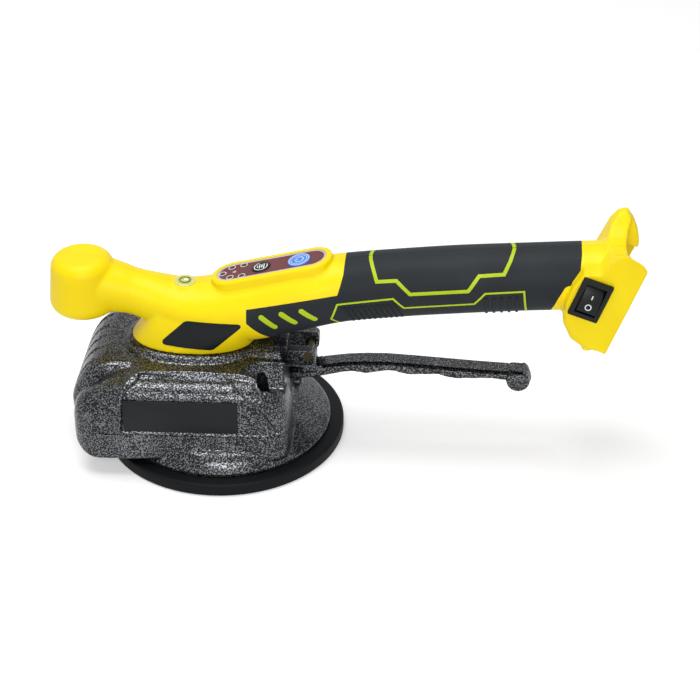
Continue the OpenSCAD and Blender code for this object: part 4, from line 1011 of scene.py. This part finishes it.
def rounded(outline, radius, steps=5):
    """Outline with its corners cut to smooth curves."""
    points = np.asarray(outline, float)
    curve = []
    for before, corner, after in zip(np.roll(points, 1, 0), points, np.roll(points, -1, 0)):
        start = corner + (before - corner) * min(0.45, radius / np.linalg.norm(before - corner))
        end = corner + (after - corner) * min(0.45, radius / np.linalg.norm(after - corner))
        curve += [(1 - t) ** 2 * start + 2 * t * (1 - t) * corner + t ** 2 * end
                  for t in np.linspace(0, 1, steps)]
    return [tuple(p) for p in curve]


def pushed(obj, amounts):
    """Moves each point of an object along its own direction outwards, in millimetres."""
    count = len(obj.data.vertices)
    points, normals = np.empty(3 * count), np.empty(3 * count)
    obj.data.vertices.foreach_get("co", points)
    obj.data.vertices.foreach_get("normal", normals)
    depth = amounts(points.reshape(-1, 3))
    obj.data.vertices.foreach_set("co", points + np.repeat(depth, 3) * normals)
    print(obj.name, "moved by", round(float(np.abs(depth).max()), 2), "mm at most")


for side, low, high in (("near", -PLATE_TO, -PLATE_FROM), ("far", PLATE_FROM, PLATE_TO)):
    plate = copy_of(handle, f"bare_plate_{side}")
    pushed(plate, lambda points: np.full(len(points), PLATE_LIFT))
    cut(plate, slab(rounded(PLATE_OUTLINE, PLATE_CORNER), low, high, across=True), operation="INTERSECT")
    seated(plate, label_film, "body")

# %% [markdown]
# ## Castings
# The body is two aluminium castings: a base with the dome over the cup, and an upper housing whose
# side lobes swell round the ends of the motor. A casting has no sharp edge, because the metal must
# flow and the pattern must draw, and the thick paint rounds what is left. Each lobe is lofted
# through sections that fall away at both ends. The block between them is a stack of plan outlines
# that lean back at the nose.

# %% Lobes and middle block
PARTING, DECK, BLOCK_LOW, BLOCK_REAR, CORE_W = 25, 52, 9.6, 33, 27.5
NOSE_R, REAR_R = 6.5, 5
NOSE_LINE = [(21.5, -71.6), (25, -72.4), (30, -72.5), (34, -71.6), (38, -70), (42, -68), (46, -65.4),
             (49, -63), (52, -60)]  # height, and where the nose ends
LOWER_EDGE, INNER_EDGE = 2, 3
# x, height of the top, inner and outer half width, radius of the shoulder, height of the underside
LOBE_STATIONS = [
    (-69.0, 31.0, 30, 36.0, 3.0, 19.5), (-68.3, 35.0, 30, 39.5, 6.0, 16.8),
    (-66.6, 38.6, 31, 42.6, 8.0, 14.4), (-63.5, 41.6, 31, 45.2, 10, 11.6),
    (-59, 44.2, 31, 46.9, 11.5, 9.8), (-53, 46.6, 31, 47.1, 11.5, 9.6), (-46, 49.3, 30, 46.8, 11, 9.6),
    (-40.5, 51.3, 26, 46.7, 10, 9.6), (-36, 52, 20, 46.5, 9.5, 9.6), (14, 52, 20, 45.1, 9.5, 9.6),
    (20, 51.5, 20, 44.9, 10, 9.6), (25.5, 50.1, 20, 44.4, 10.5, 9.6), (30, 47.7, 20, 43.3, 11, 9.6),
    (33.4, 43.8, 20, 41.2, 11, 9.6), (35.7, 38.6, 20, 38.4, 10, 9.6), (36.8, 32, 20, 34.6, 8, 9.6)]


def mirrored(form):
    """The same form on the other side of the middle plane."""
    return [(x, -y, z) for x, y, z in form[0]], form[1]


def lobe_ring(station):
    """Section across a lobe: rounded below, round-shouldered above."""
    x, top, inner, outer, radius, low = station
    section = ([(inner, low)] + arc((outer - LOWER_EDGE, low + LOWER_EDGE), LOWER_EDGE, -90, 0, 5)
               + arc((outer - radius, top - radius), radius, 0, 90, 10)
               + arc((inner + INNER_EDGE, top - INNER_EDGE), INNER_EDGE, 90, 180, 5))
    return [(x, y, z) for y, z in section]


def plan(front, rear, half, front_r, rear_r):
    """Outline of a block from above, with rounded corners."""
    return (arc((rear - rear_r, rear_r - half), rear_r, -90, 0, 6)
            + arc((rear - rear_r, half - rear_r), rear_r, 0, 90, 6)
            + arc((front + front_r, half - front_r), front_r, 90, 180, 12)
            + arc((front + front_r, front_r - half), front_r, 180, 270, 12))


def nose_at(height):
    """Front end of the leaning nose at a height."""
    return float(np.interp(height, *zip(*NOSE_LINE)))


far_lobe = loft([lobe_ring(s) for s in smooth_rows(LOBE_STATIONS, 3)])
# height, front end, and how far the outline draws in
core_rows = [(BLOCK_LOW, -59.5, 0), (10.4, -60.9, 0), (19.5, -70, 0), (21.5, nose_at(21.5), 0),
             (24.9, nose_at(25), 0)]
core_rows += [(z, nose_at(z), inset) for z, inset in (
    (30, 0), (34, 0), (38, 0), (42, 0), (46, 0), (49, 0.5), (51, 1.8), (DECK, 4))]
core = loft([[(x, y, z) for x, y in plan(front + inset, BLOCK_REAR, CORE_W - inset, NOSE_R, REAR_R)]
             for z, front, inset in core_rows])
print("lobe:", len(far_lobe[0]), "points; block:", len(core[0]), "points")

# %% [markdown]
# ### Details of the castings
# On that body sit the details that give it its look: a valley at either side of the nose, a collar
# that flares up to the handle's foot, a raised border along each lobe, a rear shoulder that climbs
# to the lever's bearing, and a skirt where the walls meet the dome.

# %% Valleys, collar, border, shoulder, skirt and dome
VALLEY_OUTLINE = [(-67, 18), (-67, 32), (-64.4, 36.6), (-59.7, 42), (-53.8, 46.6), (-46, 50), (-40, 50.6),
                  (-40, 18)]
VALLEY_FROM, VALLEY_TO = 22, 34
COLLAR_ROWS = [(-6, 4.6), (-3.2, 3.8), (-1.9, 3.1), (-0.9, 2.1), (-0.3, 1.1), (-0.1, 0.4)]
BORDER_R = 1.5
BORDER_PATH = [(-45.4, 46.3, 26.4), (-44.8, 46.3, 36), (-43.8, 45.6, 44.6), (-42.2, 43, 48.6),
               (-40, 38.8, 50.8), (-36.8, 35.2, 52), (-32, 33.6, 52.6), (-10, 32.4, 52.8), (12, 33, 52.6),
               (18.6, 34, 51.8), (23, 36.6, 49.8), (26.5, 39.4, 47.4)]
SHOULDER_POINTS = [(15, 9, 56.4), (33.4, 9.6, 57.2), (13, 14, 53), (17, 28.5, 43), (33.4, 27.5, 42),
                   (34.4, 24, 28)]
SKIRT_SECTION = [(40, 6.5), (53.2, 6.5), (53.2, 8.8), (52.4, 11), (51, 13.4), (48.6, 15.6), (46, 16.8),
                 (40, 16.8)]
DOME_R, DOME_TOP, DOME_EDGE = 131.9, 20.5, 52.5  # radius of the bulge, its height and where it ends


def rope(path, radius, sides=12, aside=(0, 1, 0.3)):
    """Round bar along a path."""
    path = np.asarray(path, float)
    ahead = np.gradient(path, axis=0)
    first = np.cross(ahead, aside)
    second = np.cross(ahead, first)
    first /= np.linalg.norm(first, axis=1, keepdims=True)
    second /= np.linalg.norm(second, axis=1, keepdims=True)
    angles = np.linspace(0, 2 * math.pi, sides, endpoint=False)
    return loft([[p + radius * (math.cos(a) * f + math.sin(a) * g) for a in angles]
                 for p, f, g in zip(path, first, second)])


far_valley = slab(VALLEY_OUTLINE, VALLEY_FROM, VALLEY_TO, across=True)
collar = loft([oval(BOSS_TOP + up, FOOT_HALF_LENGTH + out, FOOT_HALF_WIDTH + out) for up, out in COLLAR_ROWS])
far_border = rope(smooth_rows(BORDER_PATH, 4), BORDER_R)
rear_shoulder = hull_of([(x, y * sign, z) for x, y, z in SHOULDER_POINTS for sign in (-1, 1)])
far_skirt = hoop(SKIRT_SECTION, start=60, end=121, sides=40)
dome_bulge = [(r, DOME_TOP - DOME_R + math.sqrt(DOME_R ** 2 - r ** 2)) for r in np.linspace(DOME_EDGE, 0, 12)]
dome = lathe([(0, 6.5), (53.5, 6.5), (53.5, 8.7), (52.8, 9.2)] + dome_bulge, sides=160)
print("border:", len(far_border[0]), "points; dome:", len(dome[0]), "points")

# %% [markdown]
# ### One casting
# Behind the collar a valley runs back between each lobe and the shoulder. It is carved out of lobe
# and block before the fusion, so that its edges come out as soft as the rest. The cooling grooves
# on the nose run up its slope and are cut afterwards, so that they stay clear.

# %% Fused casting
REAR_VALLEY = [[(13, 8, 60), (13, 27, 52.2), (13, 31, 52.2), (13, 35.5, 53), (13, 37, 60)]]
REAR_VALLEY += [[(x, 8, 62), (x, 28, 42.6), (x, 31.5, 43.4), (x, 35, 48.6), (x, 36.5, 62)] for x in (20, 45)]
CASTING_VOXEL, CASTING_PASSES = 0.65, 5
GROOVE_R, GROOVE_PITCH = 1.8, 10
GROOVE_HEIGHTS, GROOVE_END = (27, 34, 40, 44, 47, 49.5), [(-58.4, 52.6), (-55, 54.6)]
rear_valley = loft(REAR_VALLEY)
far_lobe, core = [carved(form, rear_valley, mirrored(rear_valley)) for form in (far_lobe, core)]
one_sided = [far_lobe, far_valley, far_border, far_skirt]
casting = solid("casting", core, collar, rear_shoulder, dome, *one_sided, *[mirrored(f) for f in one_sided])
fused(casting, CASTING_VOXEL, CASTING_PASSES)
groove_line = [(nose_at(z), z) for z in GROOVE_HEIGHTS] + GROOVE_END
for row in (-2, -1, 0, 1, 2):
    groove_path = [(x, row * GROOVE_PITCH, z) for x, z in groove_line]
    cut(casting, rope(smooth_rows(groove_path, 3), GROOVE_R))
print("casting:", len(casting.data.polygons), "faces")

# %% [markdown]
# ### Sunk side panels
# A shallow panel is let into each lobe inside the border. The skin is fine enough to be pushed in
# by about a millimetre there, as a sculptor would do it.

# %% Sunk side panels
PANEL_SINK = 1.2


def step(value, low, high):
    """Rises smoothly from 0 at low to 1 at high."""
    t = np.clip((value - low) / (high - low), 0, 1)
    return t * t * (3 - 2 * t)


def in_panel(points):
    """1 inside a side panel, 0 outside, for points on the casting."""
    x, y, z = points.T
    front = np.interp(z, [26, 46, 50.4, 52], [-44.6, -42.8, -40.2, -36.4])
    rear = np.interp(z, [26, 30.3, 43.3, 49.8, 53], [33, 31, 23, 13.7, 9])
    return (step(np.abs(y), 34.4, 35.4) * step(z, 26, 26.8) * step(x, front, front + 1)
            * (1 - step(x, rear - 1.6, rear)))


pushed(casting, lambda points: -PANEL_SINK * in_panel(points))

# %% [markdown]
# ### Hollows
# Cores in the mould leave the hollow for the motor, and a mill clears the rooms in which the
# eccentric weights turn. Below, the seat of the cup and the stud's bore are turned, and a window
# behind lets the lever's fork in. All of this is cut after the fusion, so that it stays crisp.

# %% Hollows
MOTOR, MOTOR_R, WEIGHT_ROOM_R = (-42, 32), 14.1, 14  # the eccentric weights turn inside their rooms
# outline from above, and the heights between which each hollow lies
HOLLOWS = [(plan(-59, 17, 35, 10, 6), 17, 40), (plan(-56, 17, 28, 6, 5), 30, 48),
           (plan(10, 29, 13, 3, 3), 17, 44)]
SPRING_BOSS = [(0, 16), (11, 16), (11, 19.5), (0, 19.5)]
CRADLE_Y, CRADLE_FRONT, CRADLE_REAR, CRADLE_LOW = 13, -59.6, -24.4, 16
CUP_SEAT = [(0, 2), (43.5, 2), (43.5, 6.9), (17, 10.2), (17, 12.5), (5.1, 12.5), (5.1, 25), (0, 25)]
LEVER_WINDOW = (27, -6.5, 30.3), (40, 6.5, 44.3)


def cored(outline, low, high):
    """Takes an outline out of the casting between two heights."""
    cut(casting, slab(outline, low, high))


for hollow in HOLLOWS:
    cored(*hollow)
cut(casting, lathe(SPRING_BOSS), operation="UNION")
for y in (-CRADLE_Y, CRADLE_Y):
    cut(casting, box((CRADLE_FRONT, y - 2, CRADLE_LOW), (CRADLE_REAR, y + 2, PARTING)), operation="UNION")
    cut(casting, slab(disc(MOTOR, MOTOR_R), y - 3, y + 3, across=True))
for low, high in ((-31, -22), (22, 31)):
    cut(casting, slab(disc(MOTOR, WEIGHT_ROOM_R), low, high, across=True))
cut(casting, lathe(CUP_SEAT))
cut(casting, box(*LEVER_WINDOW))
print("casting with its hollows:", len(casting.data.polygons), "faces")

# %% [markdown]
# ### Ears
# Two ears behind hold the lever's bolt. Each has a raised rim round a sunk face, a deeper blind
# window in front of the bolt, and a slanted cut where it leaves the shoulder. A short bridge joins
# the two. They are added to the fused skin, so that the rims keep their edges.

# %% Ears
PIVOT, BOLT_BORE_R = (43.7, 50), 2.1
EARS = rounded(rectangle(29, 45.2, 47.6, 54.6), 3.2)
EAR_HOLLOW = rounded(rectangle(30.4, 46.3, 46.3, 53.5), 2.6)
EAR_WINDOW = rounded(rectangle(31, 46.6, 40, 53.2), 1.5)
EAR_IN, EAR_WINDOW_FLOOR, EAR_FACE, EAR_RIM, EAR_CLEAR = 6.1, 6.8, 8.65, 11.2, 14
EAR_BRIDGE = (29, -7, 45.6), (31, 7, 53.8)
WEDGE = [(28.4, 54.6), (31.4, 54.6), (35, 45), (30.8, 45)]
for low, high in ((-EAR_RIM, -EAR_IN), (EAR_IN, EAR_RIM)):
    cut(casting, slab(EARS, low, high, across=True), operation="UNION")
cut(casting, box(*EAR_BRIDGE), operation="UNION")
for sign in (-1, 1):
    cut(casting, slab(EAR_HOLLOW, sign * EAR_FACE, sign * EAR_CLEAR, across=True))
    cut(casting, slab(EAR_WINDOW, sign * EAR_WINDOW_FLOOR, sign * EAR_CLEAR, across=True))
    wedge_ends = [[(x, sign * 7.6, z) for x, z in WEDGE], [(x + 2.2, sign * 26, z + 12) for x, z in WEDGE]]
    cut(casting, loft(wedge_ends))
cut(casting, slab(disc(PIVOT, BOLT_BORE_R), -12, 12, across=True))
print("casting with its ears:", len(casting.data.polygons), "faces")

# %% [markdown]
# ### Slots, bores and the joint
# The screws that hold the castings together stand in slanted slots and plain bores. At the end a
# saw cut at the joint parts the upper casting from the lower one and draws the fine line between.

# %% Slots, bores and the joint
SLOT_X, SLOT_Y, SLOT_Z, SLOT_TURN = 23.4, 31, 40, math.radians(75)
REAR_SCREW, FRONT_SCREW = (24, 36), (-56, 36)
SCREW_BORE_R, SCREW_HEAD_R = 2.05, 4
SPLIT = 0.35
for sign in (-1, 1):
    slot_frame = (Matrix.Translation((SLOT_X, sign * SLOT_Y, SLOT_Z))
                  @ Matrix.Rotation(sign * SLOT_TURN, 4, "Z"))
    cut(casting, placed(slab(stadium(18, 7), -6, 20), slot_frame))
    cored(disc((REAR_SCREW[0], sign * REAR_SCREW[1]), SCREW_BORE_R), 15, 41)
    cored(disc((FRONT_SCREW[0], sign * FRONT_SCREW[1]), SCREW_BORE_R), 8, 36)
    cored(disc((FRONT_SCREW[0], sign * FRONT_SCREW[1]), SCREW_HEAD_R), 8, 12.6)
for name, node, low, high in (("upper_casting", "upper_housing", PARTING + SPLIT / 2, 200),
                              ("lower_casting", "base_casting", -50, PARTING - SPLIT / 2)):
    half = cut(copy_of(casting, name), box((-200, -100, low), (200, 100, high)), operation="INTERSECT")
    seated(half, hammer_tone, "body", [node])
bpy.data.objects.remove(casting)

# %% [markdown]
# ### Bare rating plate
# A thin dark plate lies in the sunk panel of the near lobe. The lobe tapers a little to the rear, so
# the plate is drawn flat, in a frame that is turned with the lobe.

# %% Bare rating plate
BLOCK_FRONT, LOBE_W, LOBE_TAPER = -68, 47.5, math.radians(1.7)
RATING_LOW, RATING_HIGH = -0.95, -0.45
LOBE_FRAME = (Matrix.Diagonal((1, -1, 1, 1)) @ Matrix.Translation((BLOCK_FRONT, LOBE_W, 0))
              @ Matrix.Rotation(-LOBE_TAPER, 4, "Z"))
rating = rounded(rectangle(25, 27, 80.6, 44.4), 0.6)
rating_plate = solid("rating_plate", placed(slab(rating, RATING_LOW, RATING_HIGH, across=True), LOBE_FRAME))
seated(edged(rating_plate, 0.1), label_film, "body")

# %% [markdown]
# ## Squeeze lever
# The lever is a casting too, painted like the body. Its own CAD shape has the outline, so fusing
# and softening it gives the rounded bar of the real one. Its end is trimmed to a round knob.

# %% Lever
LEVER_KNOB, LEVER_KNOB_R = (147, 36.6), 6.6
TRIM_FRONT, TRIM_REAR, TRIM_LOW, TRIM_HIGH = 136, 160, 43.5, 60
LEVER_VOXEL, LEVER_PASSES = 0.4, 3
LEVER_SIDE = 12  # cutters of the lever reach this far out
lever = solid("squeeze_lever", form_of(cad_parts["release_lever"], MM))
knob_top = ([(TRIM_FRONT, TRIM_LOW)] + arc(LEVER_KNOB, LEVER_KNOB_R, 90, 0, 9)
            + [(TRIM_REAR, LEVER_KNOB[1]), (TRIM_REAR, TRIM_HIGH), (TRIM_FRONT, TRIM_HIGH)])
cut(lever, slab(knob_top, -LEVER_SIDE, LEVER_SIDE, across=True))
fused(lever, LEVER_VOXEL, LEVER_PASSES)
print("lever:", len(lever.data.polygons), "faces")

# %% [markdown]
# ### Line along the lever
# The lever's mould parts along its top edge, and the fine groove there throws a dark line along the
# blade, with a bright edge below. The top line is measured on the lever's own points, and each cut
# is a band that follows it.

# %% Line along the lever
LEVER_HALF = 4.6
lever_points = np.array([v.co for v in lever.data.vertices])
top_line = [(x, lever_points[np.abs(lever_points[:, 0] - x) < 1, 2].max())
            for x in np.arange(38, 152, 3)]
top_line = [(30, top_line[0][1] - 2)] + top_line


def along_top(upper, lower):
    """Outline of a band that follows the lever's top line, between two depths below it."""
    return [(x, z - upper) for x, z in top_line] + [(x, z - lower) for x, z in top_line[::-1]]


for sign in (-1, 1):
    outside = sign * LEVER_SIDE
    cut(lever, slab(along_top(-3, 0.5), sign * (LEVER_HALF - 0.9), outside, across=True))
    cut(lever, slab(along_top(0.25, 1.1), sign * (LEVER_HALF - 2.2), outside, across=True))
    bright_edge = [(LEVER_HALF - 1.4, along_top(0.6, 1.1)), (LEVER_HALF + 0.3, along_top(0.6, 2.1))]
    cut(lever, loft([[(x, sign * y, z) for x, z in band] for y, band in bright_edge]))
print("lever's top at", [(round(float(x)), round(float(z), 1)) for x, z in top_line[::6]])
seated(lever, hammer_tone, "lever", ["release_lever"])

# %% [markdown]
# ## Suction cup
# The cup is one piece of soft rubber: a thick rim that stands on the tile, and a thin web that the
# lever's stud pushes down or lets up. When the lever is squeezed, the web flattens and the rim stays,
# so the cup is drawn as two pieces, and the web gets a mesh of its own.

# %% Cup
CUP_R, CUP_H, CUP_EDGE, LIP_R, HUB_R, HUB_LOW, HUB_TOP, SEAT_R = 60, 6.5, 1.2, 46, 16, 5, 8, 43.5
rim_section = ([(LIP_R, 0.0), (LIP_R + 4, 0.0)] + arc((CUP_R - CUP_EDGE, CUP_EDGE), CUP_EDGE, -90, 0, 6)
               + arc((CUP_R - CUP_EDGE, CUP_H - CUP_EDGE), CUP_EDGE, 0, 90, 6) + [(LIP_R, CUP_H)])
cup_rim = solid("cup_rim", hoop(rim_section, sides=192))
seated(cup_rim, cup_rubber, "body", ["suction_pad"])
cup_web = solid("cup_web", lathe(
    [(0, HUB_LOW), (HUB_R, HUB_LOW), (HUB_R + 4, HUB_LOW - 0.5), (32, 2.2), (LIP_R, 0.05),
     (LIP_R, CUP_H - 0.05), (SEAT_R, CUP_H - 0.05), (SEAT_R - 1.5, CUP_H - 1.3), (30, 6.2),
     (HUB_R, HUB_TOP), (0, HUB_TOP)], sides=160))
seated(cup_web, cup_rubber, "body")
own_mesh(cup_web)

# %% [markdown]
# ## Return spring
# A coil of steel wire round the stud lifts it again. A round bar along a helix is the whole shape.
# Its lower end stands on the casting. The real coil shortens as the stud comes down; here it is drawn at
# rest, with a mesh of its own.

# %% Return spring
SPRING_SEAT, COLLAR_LOW, END_GAP = 19.8, 32, 1.05
SPRING_R, WIRE_R, SPRING_TURNS = 7.6, 0.75, 4
turns = np.linspace(0, 2 * math.pi * SPRING_TURNS, 40 * SPRING_TURNS)
rise = np.linspace(SPRING_SEAT + END_GAP, COLLAR_LOW - END_GAP, len(turns))
coil = np.stack([SPRING_R * np.cos(turns), SPRING_R * np.sin(turns), rise], axis=1)
spring = solid("return_coil", rope(coil, WIRE_R, 10, (0, 0, 1)))
seated(spring, zinc_steel, "body", ["return_spring"])
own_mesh(spring)

# %% [markdown]
# ## Rocker switch
# A standard snap-in rocker: a bezel that covers the cut-out, and a cap that tips on a pin. The
# upper part of the cap's face falls away from a ridge, so that it looks pressed in. The cap carries
# the usual line and circle for on and off.

# %% Rocker
ROCKER_WIDE, ROCKER_LENGTH, BEZEL_T, BEZEL_CORNER, BEZEL_EDGE = 15, 21, 2, 0.8, 0.5
ROCKER_BODY = (-6.5, -0.5, -9.5), (6.5, 15, 8.2)
CAP_HALF, CAP_WIDE, CAP_PROUD, CAP_RIDGE, CAP_SUNK, CAP_EDGE = 7, 4.8, 4.3, 2.6, 2.2, 0.45
CAP_GAP, CAP_END_GAP = 0.4, 0.9
PIVOT_DEPTH, CAP_TILT = 2, math.radians(10)
CAP_FRAME = ROCKER_FRAME @ Matrix.Translation((0, PIVOT_DEPTH, 0)) @ Matrix.Rotation(-CAP_TILT, 4, "X")
bezel_outline = rectangle(-ROCKER_WIDE / 2, -ROCKER_LENGTH / 2, ROCKER_WIDE / 2, ROCKER_LENGTH / 2)
bezel_form = slab(rounded(bezel_outline, BEZEL_CORNER), -BEZEL_T, 0.0, across=True)
bezel = edged(solid("rocker_bezel", placed(bezel_form, ROCKER_FRAME)), BEZEL_EDGE, 3)
cut(bezel, placed(box(*ROCKER_BODY), ROCKER_FRAME), operation="UNION")
cap_room = box((-CAP_WIDE - CAP_GAP, -BEZEL_T - 1, -CAP_HALF - CAP_END_GAP),
               (CAP_WIDE + CAP_GAP, 6, CAP_HALF + CAP_END_GAP))
cut(bezel, placed(cap_room, ROCKER_FRAME))
seated(bezel, black_nylon, "body", ["rocker_frame"])
cap_outline = [(-CAP_PROUD + CAP_SUNK, CAP_HALF), (-CAP_PROUD, CAP_RIDGE), (-CAP_PROUD, -CAP_HALF),
               (0.4, -CAP_HALF + 1), (2, -3), (2, 3), (0.4, CAP_HALF - 1)]
cap_form = loft([[(x, y, z) for y, z in cap_outline] for x in (-CAP_WIDE, CAP_WIDE)])
cap = edged(solid("rocker_paddle", placed(cap_form, CAP_FRAME)), CAP_EDGE, 3)
seated(cap, black_nylon, "rocker", ["rocker_cap"])

# %% [markdown]
# The marks are printed on the lower part of the cap, which stays proud. They are drawn flat, stood up
# by a quarter turn and laid on the cap in its own frame, so they tip with it.

# %% Marks on the rocker
LINE_HEIGHT, CIRCLE_HEIGHT = 1.2, -3.9  # above the middle of the cap
MARK_SINK = -0.2
standing = Matrix.Rotation(math.radians(90), 4, "X")


def on_cap(form, height):
    """A form drawn flat, laid on the rocker's lower face at a height above its middle."""
    return placed(form, CAP_FRAME @ Matrix.Translation((0, -CAP_PROUD, height)) @ standing)


line_mark = slab(rectangle(-0.28, -1, 0.28, 1), MARK_SINK, PRINT_T)
circle_mark = hoop(rectangle(1.15, MARK_SINK, 1.6, PRINT_T), sides=40)
marks = solid("rocker_marks", on_cap(line_mark, LINE_HEIGHT), on_cap(circle_mark, CIRCLE_HEIGHT))
seated(marks, white_print, "rocker")

# %% [markdown]
# ## Battery slide
# The battery's rails and the housing of its terminals lie at the bottom of the foot's channel. The
# channel is open above, and from the side nothing dark shows there, so both end lower than the
# cheeks. The CAD shapes are copied and trimmed, and their edges are rounded as on a moulding.

# %% Battery slide
RAIL_TOP, RAIL_EDGE = 1, 0.3
TERMINAL_TOP, TERMINAL_EDGE = 8, 0.2
for name, node, top, edge in (("battery_rails", "battery_slide", RAIL_TOP, RAIL_EDGE),
                              ("terminal_housing", "terminal_block", TERMINAL_TOP, TERMINAL_EDGE)):
    piece = solid(name, form_of(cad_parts[node], MM))
    cut(piece, placed(box((-30, -40, top), (30, 40, 60)), SLIDE_FRAME))
    seated(edged(piece, edge), black_nylon, "body", [node])

# %% [markdown]
# ## Parts that keep their CAD shape
# Screws, bolts, the motor, the board and the wires are right as they are. They only get the finish
# of what they are made of.

# %% Finishes of the CAD parts
CAD_FINISHES = {
    zinc_steel: ["stud_plate", "suction_stud", "stud_collar", "housing_screws", "shell_screws",
                 "handle_screws", "clamp_screws", "motor_clamps"],
    yellow_zinc: ["lever_pin", "lever_pin_nut"],
    motor_steel: ["motor_can", "motor_end_caps", "motor_bearings", "rotor_shaft", "eccentric_near",
                  "eccentric_far"],
    ferrite: ["motor_magnets"],
    copper_winding: ["armature"],
    board_laminate: ["control_board"],
    black_nylon: ["tact_switches"],
    contact_brass: ["rocker_terminals", "contact_blades"],
    red_pvc: ["battery_leads"],
    blue_pvc: ["motor_leads"],
}
for material, names in CAD_FINISHES.items():
    for name in names:
        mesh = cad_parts[name].data
        mesh.materials.clear()
        mesh.materials.append(material)
print("CAD parts with a finish:", sum(len(names) for names in CAD_FINISHES.values()))

# %% [markdown]
# ## Close the lesson
# The fused handle was only the pattern for its pieces, so it goes.

# %% Close the lesson
bpy.data.objects.remove(handle)
